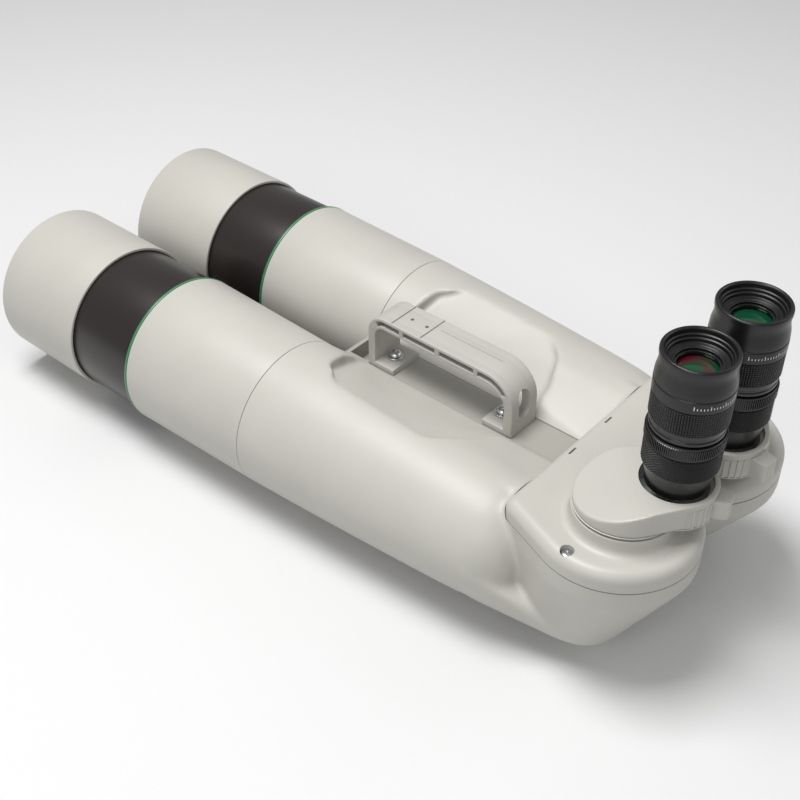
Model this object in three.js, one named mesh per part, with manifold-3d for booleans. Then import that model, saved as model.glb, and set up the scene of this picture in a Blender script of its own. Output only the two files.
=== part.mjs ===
// Giant astronomy binoculars with 100 mm objectives and upright eyepieces.
// Millimetres. +Z is up and +Y runs towards the objectives. The origin is the centre of the
// underside of the mounting foot. The left barrel is on -X, as the observer sees it.
import * as THREE from "three";
import { ConvexGeometry } from "three/addons/geometries/ConvexGeometry.js";
import { mergeVertices } from "three/addons/utils/BufferGeometryUtils.js";
import Module from "manifold-3d";

const wasm = await Module();
wasm.setup();

// ---------------------------------------------------------------- driving dimensions
const GAP = 0.3; // between pieces that bear on each other
const BARREL_SPACING = 132; // between the two barrel axes
const AXIS_HEIGHT = 57.5; // barrel axes above the underside of the foot
const SEAM_Y = 60; // front end of the housings, ahead of the foot's centre

// Front tube and objective
const TUBE_LENGTH = 108.4;
const TUBE_FRONT_R = 56;
const TUBE_REAR_R = 53.6;
const TUBE_WALL = 2.6;
const TRIM_WIDTH = 1.8;
const TRIM_R = 56.3;
const APERTURE = 100;
const GLASS_RIM = 1; // how far the glass reaches past the clear aperture
const CELL_WALL = 2.5;
const CELL_EXPOSED = 58.5; // bare cell between the trim ring and the extended dew shield
const CELL_UNDER_SHIELD = 22;
const CELL_SPIGOT = 16; // part of the cell that screws into the tube
const CROWN_EDGE = 4;
const CROWN_SAG = 5.5;
const FLINT_EDGE = 9;
const FLINT_SAG = 4;
const LENS_SETBACK = 9; // front of the crown's rim behind the front of the cell
const RETAINER_LENGTH = 3;

// Dew shield
const SHIELD_LENGTH = 81.5;
const SHIELD_WALL = 1.8;
const SHIELD_LIP = 8; // thicker guide band at its rear end
const SLIDE_GAP = 0.35;
const SHIELD_LIP_WALL = 2.35;

// Housing: the cast barrel behind the tube and the prism box at its rear end
const HOUSING_WALL = 3;
const HOUSING_TAPER = [
  // distance behind the seam, outside radius
  [0, 53.6],
  [59, 50.8],
  [120, 47.3],
  [158, 44.8],
  [188, 42.7],
];
const HOUSING_END_ROUND = 30; // length of the barrel's rounded end
const HEEL_UPTO = 14; // height on the barrel's end section that the heel takes in
const SHOULDER_FRONT = -3; // the barrel's shoulder runs from here to the prism box
const SHOULDER_RISE = 0.8; // its edge above the deck
const SCOOP_REACH = -4.3; // finger scoop's far edge, inboard of the barrel's top
const SCOOP_OUTLINE = [
  // along Y, share of the way from the deck up to the far edge
  [-20, 0],
  [-21.5, 0.4],
  [-27, 0.75],
  [-44, 1],
  [-80, 1],
  [-116, 1],
  [-131, 0.75],
  [-138.5, 0.4],
  [-141, 0],
];
const BOX_INWARD = 19; // prism box centre, inboard of the barrel axis
const BOX_Y = -245.2;
const BOX_R = 51;
const BOX_TOP = 34; // parting line with the cover, above the barrel axis
const BOX_WALL_DROP = 12; // upright part of the wall below the parting line
const BOX_FRONT_Y = -189;
const BOX_CORNER_INWARD = -9; // outer front corner of the box, from the barrel axis
const KNEE_Z = -34.2; // rounded heel under the prisms
const KNEE_Y = -239.2;
const KNEE_INWARD = 5.6;
const KNEE_R = 24.7;
const BELLY_Z = -40.7; // where the heel runs into the underside of the barrel
const BELLY_Y = -215.7;
const BELLY_INWARD = 3.3;
const BELLY_R = 20.7;

// Prism cover
const COVER_HEIGHT = 13.5;
const COVER_ROUND = 7;
const COVER_EDGE_STEPS = 2;
const COVER_OVERLAP = 6; // how far each lobe runs past the middle
const COVER_WALL = 3;
const COVER_BRIDGE = 24; // half width of the part that joins the two lobes
const COVER_NOTCH_Y = -265;
const BOSS_R = 30.2;
const BOSS_FOOT_R = 36;
const BOSS_HEIGHT = 10.2;
const COVER_SCREW_R = 3.6;
const COVER_SCREW_DEPTH = 2; // head below the cover's face
const COVER_SCREW_POST_R = 6;
const COVER_SCREW = [25, -241.4]; // outboard of the barrel axis, along Y
const COVER_SLIT = [19.6, -195.1]; // blind slit's middle
const COVER_SLIT_SIZE = [9, 3, 2.2]; // along X, along Y, deep

// Eyepiece arms
const EYE_SPACING = 56.968; // between the eyepiece axes at rest
const PIVOT_Y = -250;
const ARM_REACH = 27.6; // pivot to eyepiece axis
const ARM_ANGLE = 45; // arms swung back from pointing straight at each other, degrees
const ARM_HEIGHT = 18.3;
const ARM_SLOPE = 0.36; // the top falls towards the pivot
const ARM_SLOPE_START = 5.8; // distance from the pivot where the slope begins
const COLLAR_R = 24.5;
const COLLAR_HOLE_R = 21.5;
const COLLAR_DROP = 1.3; // the collar hangs this far below the arm, beside the boss
const RING_FLOOR = 1.2; // underside of the focus ring above the arm's underside
const RING_HEIGHT = 13;
const RING_R = 24.3;
const RING_BORE_R = 19.2;
const RING_HALF_SPAN = 105; // the ring is open towards the pivot, degrees
const RING_TRAVEL = 25; // degrees each way
const LOBE_LENGTH = { left: 32.9, right: 34 }; // finger lobe's tip from the eyepiece axis
const LOBE_WIDTH = 9;
const LOBE_TURN = { left: -26, right: 35 }; // lobe from the arm's own direction, degrees
const RIB_FIRST = 25; // degrees from the middle of the lobe
const RIB_COUNT = 6;
const RIB_STEP = 9;
const RIB_R = 0.8;
const HUB_R = 23;
const HUB_WALL = 4;
const HUB_LENGTH = 17;
const HUB_GAP = 0.4;
const BEARING_R = 28;
const BEARING_THICK = 3;

// Prisms
const PRISM_HALF = 17;
const PRISM_Y = -235;
const ROOF_DROP = 5;
const PLATE_THICK = 2.4;
const OFFSET_PRISM_HALF = 10;
const ARM_PRISM_HALF = 6;
const ARM_PRISM_SIDE = 0.8;

// Eyepiece holder and eyepiece, heights above the arm's top face
const HOLDER_FOOT = -0.6;
const HOLDER_NECK_R = 18.6;
const HOLDER_NECK = 3.4; // top of the upright neck
const HOLDER_SHOULDER_R = 21;
const HOLDER_SHOULDER = 14.4;
const HOLDER_BAND_R = 22.2;
const HOLDER_BAND = 16;
const SKIRT_WALL = 1.8;
const SKIRT_DROP = 12;
const SKIRT_HALF_SPAN = 75; // degrees
const BARREL_R = 15.875; // 1.25 inch eyepiece barrel
const CLAMP_R = 22.8;
const CLAMP_HEIGHT = 9;
const GROOVE_R = 21.4;
const GROOVE_HEIGHT = 7;
const GRIP_R = 22.3;
const GRIP_HEIGHT = 16.5;
const EYEPIECE_BARREL = 18;
const EYEPIECE_NECK_R = 18;
const EYEPIECE_NECK = 17;
const EYECUP_HEIGHT = 26.6;
const EYECUP_R = 22.6;
const EYECUP_RIM_R = 21.5;
const EYECUP_WAIST_R = 21;
const EYECUP_BORE_R = 16.5;
const EYE_LENS_R = 12;
const FIELD_LENS_R = 12.5;

// Bridge, handle and foot
const DECK_Z = 24.5; // deck above the barrel axes
const DECK_THICK = 4;
const DECK_DEPTH = 22;
const DECK_HALF_WIDTH = 14.5;
const DECK_FRONT_Y = -1.5;
const DECK_RIB = 5; // side and end walls of the web
const DECK_POCKET = [12, -4.5, -20, 12]; // half width, front, rear, depth
const HANDLE_FRONT_Y = -22.5;
const HANDLE_REAR_Y = -145;
const HANDLE_TOP_Z = 67;
const HANDLE_WIDTH = 27;
const HANDLE_BAR = 8.5;
const HANDLE_FRONT_LEG = 6;
const HANDLE_REAR_LEG = 7;
const HANDLE_FRONT_ROUND = 14;
const HANDLE_REAR_ROUND = 22;
const HANDLE_FOOT = 16.5;
const HANDLE_FOOT_THICK = 4;
const HANDLE_SLOT_DEPTH = 3.5;
const HANDLE_SLOT_HEIGHT = 4;
const HANDLE_SLOTS = [
  // front end, rear end of each side slot
  [-39, -49.5],
  [-53, -80],
  [-84, -111.5],
];
const STRAP_HOLE = [6.4, 21]; // half width, height
const STRAP_HOLE_Z = 45;
const SIGHT_HOLE_R = 1.4;
const SIGHT_HOLE_Y = [-50.3, -62.9];
const HANDLE_SCREW_Y = [-35.5, -128];
const HANDLE_SCREW_R = 4.1;
const HANDLE_SCREW_HEAD = 3;
const HANDLE_SCREW_SHANK_R = 2;
const HANDLE_SCREW_LENGTH = 9;
const WASHER_R = 5.6;
const WASHER_THICK = 1;
const FOOT_LENGTH = 120;
const FOOT_HALF_WIDTH = 30;
const FOOT_THICK = 10;
const FOOT_NECK_HALF_WIDTH = 9.5;
const FOOT_HOLE_R = 4;
const FOOT_HOLE_Y = [-25, 25];

// Facets round a full turn
const BARREL_FACETS = 40;
const EYEPIECE_FACETS = 28;
const SMALL_FACETS = 14;

// ---------------------------------------------------------------- derived places
const pivotOffset = EYE_SPACING / 2 + ARM_REACH * Math.cos(THREE.MathUtils.degToRad(ARM_ANGLE));
const pivotInward = BARREL_SPACING / 2 - pivotOffset;
const coverScrewX = BARREL_SPACING / 2 + COVER_SCREW[0];
const sides = { left: -1, right: 1 };
const trimRear = TUBE_LENGTH + GAP;
const cellRear = trimRear + TRIM_WIDTH + GAP;
const shieldRear = cellRear + CELL_EXPOSED;
const cellFront = shieldRear + CELL_UNDER_SHIELD;
const glassR = APERTURE / 2 + GLASS_RIM;
const cellR = glassR + GAP + CELL_WALL;
const spigotR = TUBE_FRONT_R - TUBE_WALL - 2 * GAP;
const shieldR = cellR + SLIDE_GAP + SHIELD_LIP_WALL;
const coverBase = BOX_TOP + GAP;
const coverTop = coverBase + COVER_HEIGHT;
const armBase = coverTop + BOSS_HEIGHT + GAP;
const armTop = armBase + ARM_HEIGHT;
const ringTop = RING_FLOOR + RING_HEIGHT;
const slotHalfSpan = RING_HALF_SPAN + RING_TRAVEL + 2;
const holderTop = HOLDER_SHOULDER + HOLDER_BAND;
const clampBase = holderTop + GAP;
const bodyBase = clampBase + CLAMP_HEIGHT + GAP;
const gripTop = bodyBase + GROOVE_HEIGHT + GRIP_HEIGHT;
const eyecupBase = gripTop + GAP;

// ---------------------------------------------------------------- solids
// A closed geometry as a solid with its faces pointing out.
function solid(geometry) {
  const bare = geometry.index ? geometry.toNonIndexed() : geometry.clone();
  bare.deleteAttribute("normal");
  bare.deleteAttribute("uv");
  const merged = mergeVertices(bare, 1e-4);
  const triVerts = new Uint32Array(merged.index.array);
  const vertProperties = merged.attributes.position.array;
  const made = new wasm.Manifold(new wasm.Mesh({ numProp: 3, vertProperties, triVerts }));
  if (made.volume() > 0) return made;
  for (let i = 0; i < triVerts.length; i += 3) {
    const second = triVerts[i + 1];
    triVerts[i + 1] = triVerts[i + 2];
    triVerts[i + 2] = second;
  }
  return new wasm.Manifold(new wasm.Mesh({ numProp: 3, vertProperties, triVerts }));
}

function geometryOf(made) {
  const mesh = made.getMesh();
  const geometry = new THREE.BufferGeometry();
  geometry.setAttribute("position", new THREE.BufferAttribute(new Float32Array(mesh.vertProperties), 3));
  geometry.setIndex(new THREE.BufferAttribute(new Uint32Array(mesh.triVerts), 1));
  geometry.computeVertexNormals();
  return geometry;
}

function outlineOf(points) {
  return points.map(([r, h]) => new THREE.Vector2(r, h));
}

// A solid turned about the Y axis from [radius, y] points. A profile that starts and ends on
// the axis is solid; any other closes on itself and leaves a bore.
function turnedY(points, facets) {
  const last = points[points.length - 1];
  const onAxis = points[0][0] === 0 && last[0] === 0;
  const profile = outlineOf(onAxis ? points : [...points, points[0]]);
  return solid(new THREE.LatheGeometry(profile, facets));
}

// The same about the Z axis from [radius, z] points.
function turnedZ(points, facets) {
  return turnedY(points, facets).rotate([90, 0, 0]);
}

function ringY(inner, outer, from, to, facets) {
  return turnedY([[inner, from], [outer, from], [outer, to], [inner, to]], facets);
}

function ringZ(inner, outer, from, to, facets) {
  return turnedZ([[inner, from], [outer, from], [outer, to], [inner, to]], facets);
}

function discZ(radius, from, to, facets) {
  return turnedZ([[0, from], [radius, from], [radius, to], [0, to]], facets);
}

function box(x0, x1, y0, y1, z0, z1) {
  const geometry = new THREE.BoxGeometry(x1 - x0, y1 - y0, z1 - z0);
  geometry.translate((x0 + x1) / 2, (y0 + y1) / 2, (z0 + z1) / 2);
  return solid(geometry);
}

function drill(radius, x, y, from, to) {
  return discZ(radius, from, to, SMALL_FACETS).translate([x, y, 0]);
}

// An outline in the YZ plane given a width across X.
function acrossX(shape, width, curveSegments = 6) {
  const geometry = new THREE.ExtrudeGeometry(shape, { depth: width, bevelEnabled: false, curveSegments });
  geometry.translate(0, 0, -width / 2);
  geometry.rotateX(Math.PI / 2);
  geometry.rotateZ(Math.PI / 2);
  return solid(geometry);
}

function hull(points) {
  return solid(new ConvexGeometry(points));
}

function circlePoints(x, y, z, radius, count) {
  return Array.from({ length: count }, (_, i) => {
    const turn = (2 * Math.PI * i) / count;
    return new THREE.Vector3(x + radius * Math.cos(turn), y + radius * Math.sin(turn), z);
  });
}

function screw(headR, head, shankR, length) {
  const points = [[0, -length], [shankR, -length], [shankR, 0], [headR, 0], [headR, head * 0.6], [headR * 0.6, head], [0, head]];
  return turnedZ(points, SMALL_FACETS).subtract(box(-headR * 0.5, headR * 0.5, -0.4, 0.4, head * 0.5, head * 2));
}

// ---------------------------------------------------------------- materials
function finish(color, roughness, metalness) {
  return new THREE.MeshStandardMaterial({ color, roughness, metalness });
}

const greyPaint = finish(0xc1c0b8, 0.55, 0);
const satinBlack = finish(0x1c1917, 0.4, 0.3);
const greenTrim = finish(0x37784f, 0.45, 0.2);
const blackPaint = finish(0x101010, 0.6, 0.2);
const rubberBlack = finish(0x0d0d0e, 0.8, 0);
const ribbedBlack = finish(0x17171a, 0.35, 0.6);
const coatedGlass = finish(0x2f6b4a, 0.05, 0);
const clearGlass = finish(0xd8e6e2, 0.05, 0);
const zinc = finish(0xb9bbbd, 0.35, 0.9);
const castAlloy = finish(0x8d8f90, 0.5, 0.7);

function mesh(name, made, material) {
  const piece = new THREE.Mesh(geometryOf(made), material);
  piece.name = name;
  return piece;
}

// ---------------------------------------------------------------- objective end
// A lens about the Y axis, from its rear face to its front face. A positive sag bulges out.
function lens(radius, edge, rearSag, frontSag, centre, facets) {
  const steps = 3;
  const rear = [];
  const front = [];
  for (let i = 0; i <= steps; i++) {
    const share = i / steps;
    rear.push([radius * share, centre - edge / 2 - rearSag * (1 - share * share)]);
    front.push([radius * (1 - share), centre + edge / 2 + frontSag * (1 - (1 - share) ** 2)]);
  }
  return turnedY([...rear, ...front], facets);
}

function dewShield() {
  const rear = shieldRear;
  const front = shieldRear + SHIELD_LENGTH;
  const lipInner = shieldR - SHIELD_LIP_WALL;
  const inner = shieldR - SHIELD_WALL;
  const profile = [
    [lipInner, rear],
    [shieldR, rear],
    [shieldR, front],
    [inner, front],
    [inner, rear + SHIELD_LIP],
    [lipInner, rear + SHIELD_LIP],
  ];
  return turnedY(profile, BARREL_FACETS);
}

const crownFront = cellFront - LENS_SETBACK;
const crownCentre = crownFront - CROWN_EDGE / 2;
const flintFront = crownFront - CROWN_EDGE - GAP;
const flintCentre = flintFront - FLINT_EDGE / 2;
const seatY = flintFront - FLINT_EDGE - GAP;

function objectiveCell() {
  const bore = APERTURE / 2;
  const profile = [
    [bore, cellRear - CELL_SPIGOT],
    [spigotR, cellRear - CELL_SPIGOT],
    [spigotR, cellRear],
    [cellR, cellRear],
    [cellR, cellFront],
    [glassR + GAP, cellFront],
    [glassR + GAP, seatY],
    [bore, seatY],
  ];
  return turnedY(profile, BARREL_FACETS);
}

function frontTube() {
  const profile = [
    [TUBE_REAR_R - TUBE_WALL, GAP / 2],
    [TUBE_REAR_R, GAP / 2],
    [TUBE_FRONT_R, TUBE_LENGTH],
    [TUBE_FRONT_R - TUBE_WALL, TUBE_LENGTH],
  ];
  return turnedY(profile, BARREL_FACETS);
}

function tubeBaffle() {
  const y = TUBE_LENGTH * 0.45;
  const outer = TUBE_REAR_R - TUBE_WALL - GAP;
  return ringY(outer * 0.84, outer, y, y + 2, BARREL_FACETS);
}

function objectiveEnd(name, side) {
  const group = new THREE.Group();
  group.position.x = (side * BARREL_SPACING) / 2;
  const retainerBore = APERTURE / 2 - 0.5;
  const retainerRear = crownFront + CROWN_SAG * (1 - (retainerBore / glassR) ** 2) + GAP;
  const retainer = ringY(retainerBore, glassR, retainerRear, retainerRear + RETAINER_LENGTH, BARREL_FACETS);
  const trim = ringY(spigotR + GAP, TRIM_R, trimRear, trimRear + TRIM_WIDTH, BARREL_FACETS);
  const crown = lens(glassR, CROWN_EDGE, CROWN_SAG, CROWN_SAG, crownCentre, BARREL_FACETS);
  const flint = lens(glassR, FLINT_EDGE, 0.5, -CROWN_SAG - GAP, flintCentre, BARREL_FACETS);
  group.add(
    mesh(`${name}_dew_shield`, dewShield(), greyPaint),
    mesh(`${name}_objective_cell`, objectiveCell(), satinBlack),
    mesh(`${name}_lens_retaining_ring`, retainer, satinBlack),
    mesh(`${name}_crown_lens`, crown, coatedGlass),
    mesh(`${name}_flint_lens`, flint, clearGlass),
    mesh(`${name}_trim_ring`, trim, greenTrim),
    mesh(`${name}_front_tube`, frontTube(), greyPaint),
    mesh(`${name}_tube_baffle`, tubeBaffle(), blackPaint),
  );
  return group;
}

// ---------------------------------------------------------------- housing and prisms
// Barrel of revolution with its outside moved in or out by an offset.
function barrelSolid(offset, frontY, facets) {
  const points = [[0, frontY], [HOUSING_TAPER[0][1] + offset, frontY]];
  for (const [back, radius] of HOUSING_TAPER) {
    if (-back < frontY) points.push([radius + offset, -back]);
  }
  const [back, radius] = HOUSING_TAPER[HOUSING_TAPER.length - 1];
  for (const share of [0.4, 0.75, 1]) {
    const r = (radius + offset) * Math.sqrt(1 - share * share * 0.92);
    points.push([r, -back - (HOUSING_END_ROUND + offset) * share]);
  }
  points.push([0, -back - HOUSING_END_ROUND - offset]);
  return turnedY(points, facets);
}

// Outline of the prism box at the parting line, for one side, moved in by an offset.
function boxOutline(inward, offset, z, past = -GAP) {
  const centre = inward * BOX_INWARD;
  const radius = BOX_R - offset;
  const points = circlePoints(centre, BOX_Y, z, radius, BARREL_FACETS);
  points.push(new THREE.Vector3(inward * (BOX_CORNER_INWARD + offset), BOX_FRONT_Y - offset, z));
  points.push(new THREE.Vector3(inward * (BARREL_SPACING / 2 + past), BOX_FRONT_Y - offset, z));
  return points;
}

function prismBox(inward, offset, top) {
  const below = BOX_TOP - BOX_WALL_DROP;
  return hull([
    ...boxOutline(inward, offset, top),
    ...circlePoints(inward * BOX_INWARD, BOX_Y, below, BOX_R - offset, BARREL_FACETS),
    ...circlePoints(inward * KNEE_INWARD, KNEE_Y, KNEE_Z + offset, KNEE_R - offset, BARREL_FACETS / 2),
    ...circlePoints(inward * BELLY_INWARD, BELLY_Y, BELLY_Z + offset, BELLY_R - offset, BARREL_FACETS / 2),
  ]);
}

// The lower part of the barrel's end, drawn back and in to the heel.
function heel(inward, offset) {
  const [back, radius] = HOUSING_TAPER[HOUSING_TAPER.length - 1];
  const section = circlePoints(0, 0, 0, radius - offset, BARREL_FACETS)
    .map((p) => new THREE.Vector3(p.x, -back - offset, p.y))
    .filter((p) => p.z < HEEL_UPTO);
  return hull([
    ...section,
    ...circlePoints(inward * KNEE_INWARD, KNEE_Y, KNEE_Z + offset, KNEE_R - offset, BARREL_FACETS / 2),
    ...circlePoints(inward * BELLY_INWARD, BELLY_Y, BELLY_Z + offset, BELLY_R - offset, BARREL_FACETS / 2),
  ]);
}

// Everything on one side of the plane halfway between the barrels, less a margin.
function halfSpace(inward, margin) {
  const edge = BARREL_SPACING / 2 - margin;
  return inward > 0 ? box(-200, edge, -400, 100, -200, 200) : box(-edge, 200, -400, 100, -200, 200);
}

// The barrel's radius at a distance behind the seam.
function barrelRadius(back) {
  for (let i = 1; i < HOUSING_TAPER.length; i++) {
    const [from, radius] = HOUSING_TAPER[i - 1];
    const [to, next] = HOUSING_TAPER[i];
    if (back <= to) return radius + ((next - radius) * (back - from)) / (to - from);
  }
  return HOUSING_TAPER[HOUSING_TAPER.length - 1][1];
}

// The shoulder that leads from the barrel down to the deck's edge.
function shoulder(inward) {
  const edge = BARREL_SPACING / 2 - DECK_HALF_WIDTH;
  const points = [];
  for (const y of [SHOULDER_FRONT, ...HOUSING_TAPER.slice(1).map(([back]) => -back), BOX_FRONT_Y - HOUSING_WALL]) {
    const radius = barrelRadius(-y) - 0.05;
    for (let i = 0; i <= BARREL_FACETS / 4; i++) {
      const turn = (2 * Math.PI * i) / BARREL_FACETS;
      const x = inward * Math.min(radius * Math.cos(turn), edge);
      points.push(new THREE.Vector3(x, y, radius * Math.sin(turn)));
    }
    for (const z of [DECK_Z - DECK_DEPTH, DECK_Z + SHOULDER_RISE]) points.push(new THREE.Vector3(inward * edge, y, z));
  }
  return hull(points);
}

// Room for the fingers beside the handle, cut down by a depth.
function scoop(inward, depth) {
  const edge = new THREE.Vector3(BARREL_SPACING / 2 - DECK_HALF_WIDTH, 0, DECK_Z + SHOULDER_RISE);
  const points = [];
  for (const [y, share] of SCOOP_OUTLINE) {
    const radius = barrelRadius(-y);
    const far = new THREE.Vector3(SCOOP_REACH, 0, Math.sqrt(radius ** 2 - SCOOP_REACH ** 2));
    const place = edge.clone().lerp(far, share);
    for (const rise of [-depth, BARREL_SPACING / 2]) {
      points.push(new THREE.Vector3(inward * (place.x + rise * 0.4), y, place.z + rise));
    }
  }
  return hull(points);
}

function housing(inward) {
  const topCut = box(-200, 200, -400, BOX_FRONT_Y, BOX_TOP, 200);
  const outside = barrelSolid(0, -GAP / 2, BARREL_FACETS)
    .add(prismBox(inward, 0, BOX_TOP))
    .add(heel(inward, 0))
    .add(shoulder(inward))
    .subtract(scoop(inward, 0))
    .intersect(halfSpace(inward, GAP / 2))
    .subtract(topCut);
  const inside = barrelSolid(-HOUSING_WALL, 1, BARREL_FACETS)
    .add(prismBox(inward, HOUSING_WALL, BOX_TOP + 1))
    .add(heel(inward, HOUSING_WALL))
    .subtract(scoop(inward, HOUSING_WALL))
    .intersect(halfSpace(inward, HOUSING_WALL));
  return outside.subtract(inside);
}

// A roof prism that turns the light from the barrel upwards.
function roofPrism() {
  const rear = PRISM_Y - PRISM_HALF;
  const front = PRISM_Y + PRISM_HALF;
  const corners = [];
  for (const x of [-PRISM_HALF, PRISM_HALF]) {
    corners.push(new THREE.Vector3(x, front, -PRISM_HALF), new THREE.Vector3(x, front, PRISM_HALF));
    corners.push(new THREE.Vector3(x * 0.8, rear, PRISM_HALF));
  }
  corners.push(new THREE.Vector3(0, front, -PRISM_HALF - ROOF_DROP));
  corners.push(new THREE.Vector3(0, rear - ROOF_DROP, PRISM_HALF));
  return hull(corners);
}

// A rhomboid prism along +X: light enters below the origin and leaves above the reach.
function rhomboid(reach, half, width) {
  const shape = new THREE.Shape(outlineOf([[-half, 0], [reach - half, 0], [reach + half, 2 * half], [half, 2 * half]]));
  const geometry = new THREE.ExtrudeGeometry(shape, { depth: width, bevelEnabled: false });
  geometry.translate(0, 0, -width / 2);
  geometry.rotateX(Math.PI / 2);
  return solid(geometry);
}

const plateZ = PRISM_HALF + GAP;
const offsetPrismZ = plateZ + PLATE_THICK + GAP;

function prismPlate(inward) {
  const outline = circlePoints(inward * BOX_INWARD, BOX_Y, plateZ, BOX_R - HOUSING_WALL - 2 * GAP - 1, BARREL_FACETS / 2);
  const raised = outline.map((p) => p.clone().setZ(plateZ + PLATE_THICK));
  return hull([...outline, ...raised])
    .intersect(halfSpace(inward, HOUSING_WALL + GAP))
    .intersect(prismBox(inward, HOUSING_WALL + 2 * GAP, BOX_TOP))
    .subtract(drill(OFFSET_PRISM_HALF, 0, PRISM_Y, 0, 2 * plateZ));
}

function housingEnd(name, side) {
  const group = new THREE.Group();
  group.position.x = (side * BARREL_SPACING) / 2;
  const inward = -side;
  const toPivot = new THREE.Vector2(inward * pivotInward, PIVOT_Y - PRISM_Y);
  const relay = mesh(
    `${name}_offset_prism`,
    rhomboid(toPivot.length(), OFFSET_PRISM_HALF, 2 * OFFSET_PRISM_HALF),
    clearGlass,
  );
  relay.position.set(0, PRISM_Y, offsetPrismZ);
  relay.rotation.z = toPivot.angle();
  group.add(
    mesh(`${name}_housing`, housing(inward), greyPaint),
    mesh(`${name}_roof_prism`, roofPrism(), clearGlass),
    mesh(`${name}_prism_plate`, prismPlate(inward), castAlloy),
    relay,
  );
  return group;
}

// ---------------------------------------------------------------- prism cover
// A stack of outlines whose upper edge is rounded over.
function roundedStack(outlineAt, offset, top) {
  const round = COVER_ROUND - offset * 0.6;
  const points = [...outlineAt(offset, 0)];
  for (let i = 0; i <= COVER_EDGE_STEPS; i++) {
    const turn = ((Math.PI / 2) * i) / COVER_EDGE_STEPS;
    points.push(...outlineAt(offset + round * (1 - Math.cos(turn)), top - round * (1 - Math.sin(turn))));
  }
  return hull(points);
}

function coverLobe(side, offset, top) {
  const made = roundedStack((inset, z) => boxOutline(-side, inset, z, COVER_OVERLAP), offset, top);
  return made.translate([(side * BARREL_SPACING) / 2, 0, 0]);
}

// The part that joins the two lobes and ends in the notch between them.
function coverBridge(offset, top) {
  const outline = (inset, z) => {
    const front = BOX_FRONT_Y - inset;
    const rear = COVER_NOTCH_Y + inset;
    return [
      new THREE.Vector3(-COVER_BRIDGE, front, z),
      new THREE.Vector3(COVER_BRIDGE, front, z),
      new THREE.Vector3(-COVER_BRIDGE, rear, z),
      new THREE.Vector3(COVER_BRIDGE, rear, z),
    ];
  };
  return roundedStack(outline, offset, top);
}

function coverMass(offset, top) {
  return coverLobe(-1, offset, top).add(coverLobe(1, offset, top)).add(coverBridge(offset, top));
}

function prismCover() {
  const below = box(-200, 200, -400, 0, -100, coverBase);
  let cover = coverMass(0, coverTop).subtract(coverMass(COVER_WALL, coverTop - COVER_WALL));
  for (const side of [-1, 1]) {
    const pivotX = side * pivotOffset;
    const boss = turnedZ(
      [
        [HUB_R + HUB_GAP, coverTop - COVER_WALL],
        [BOSS_FOOT_R, coverTop - COVER_WALL],
        [BOSS_FOOT_R, coverTop],
        [BOSS_R + 1.4, coverTop + BOSS_HEIGHT * 0.35],
        [BOSS_R, coverTop + BOSS_HEIGHT],
        [HUB_R + HUB_GAP, coverTop + BOSS_HEIGHT],
      ],
      EYEPIECE_FACETS,
    ).translate([pivotX, PIVOT_Y, 0]);
    cover = cover.add(boss).subtract(drillHub(pivotX));
    const [x, y] = [coverScrewX, COVER_SCREW[1]];
    const head = coverTop - COVER_SCREW_DEPTH - 2;
    const post = drill(COVER_SCREW_POST_R, side * x, y, coverBase, coverTop - COVER_WALL / 2);
    const [slitLong, slitWide, slitDeep] = COVER_SLIT_SIZE;
    const slit = box(-slitLong / 2, slitLong / 2, -slitWide / 2, slitWide / 2, coverTop - slitDeep, coverTop + 1);
    cover = cover
      .add(post.intersect(coverMass(0, coverTop)))
      .subtract(drill(COVER_SCREW_R + 2 * GAP, side * x, y, head, coverTop + 1))
      .subtract(drill(COVER_SCREW_R / 2 + GAP, side * x, y, 0, head + 1))
      .subtract(slit.translate([side * COVER_SLIT[0], COVER_SLIT[1], 0]));
  }
  return cover.subtract(below);
}

function drillHub(pivotX) {
  return discZ(HUB_R + HUB_GAP, 0, armBase, EYEPIECE_FACETS).translate([pivotX, PIVOT_Y, 0]);
}

function coverAssembly() {
  const group = new THREE.Group();
  group.add(mesh("prism_cover", prismCover(), greyPaint));
  const [x, y] = [coverScrewX, COVER_SCREW[1]];
  for (const [name, side] of Object.entries(sides)) {
    const made = screw(COVER_SCREW_R, 2, COVER_SCREW_R / 2, COVER_HEIGHT - COVER_SCREW_DEPTH - 4);
    const piece = mesh(`${name}_cover_screw`, made, zinc);
    piece.position.set(side * x, y, coverTop - COVER_SCREW_DEPTH - 2 + GAP);
    group.add(piece);
  }
  return group;
}

// ---------------------------------------------------------------- eyepiece arms
// A wedge about +X, open by so many degrees each way, to cut part of a turn out of a ring.
function sector(halfSpan, radius, from, to) {
  const half = THREE.MathUtils.degToRad(halfSpan);
  const shape = new THREE.Shape();
  shape.moveTo(0, 0);
  for (let i = 0; i <= 12; i++) {
    const turn = -half + (half * i) / 6;
    shape.lineTo(radius * Math.cos(turn), radius * Math.sin(turn));
  }
  const geometry = new THREE.ExtrudeGeometry(shape, { depth: to - from, bevelEnabled: false });
  geometry.translate(0, 0, from);
  return solid(geometry);
}

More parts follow.
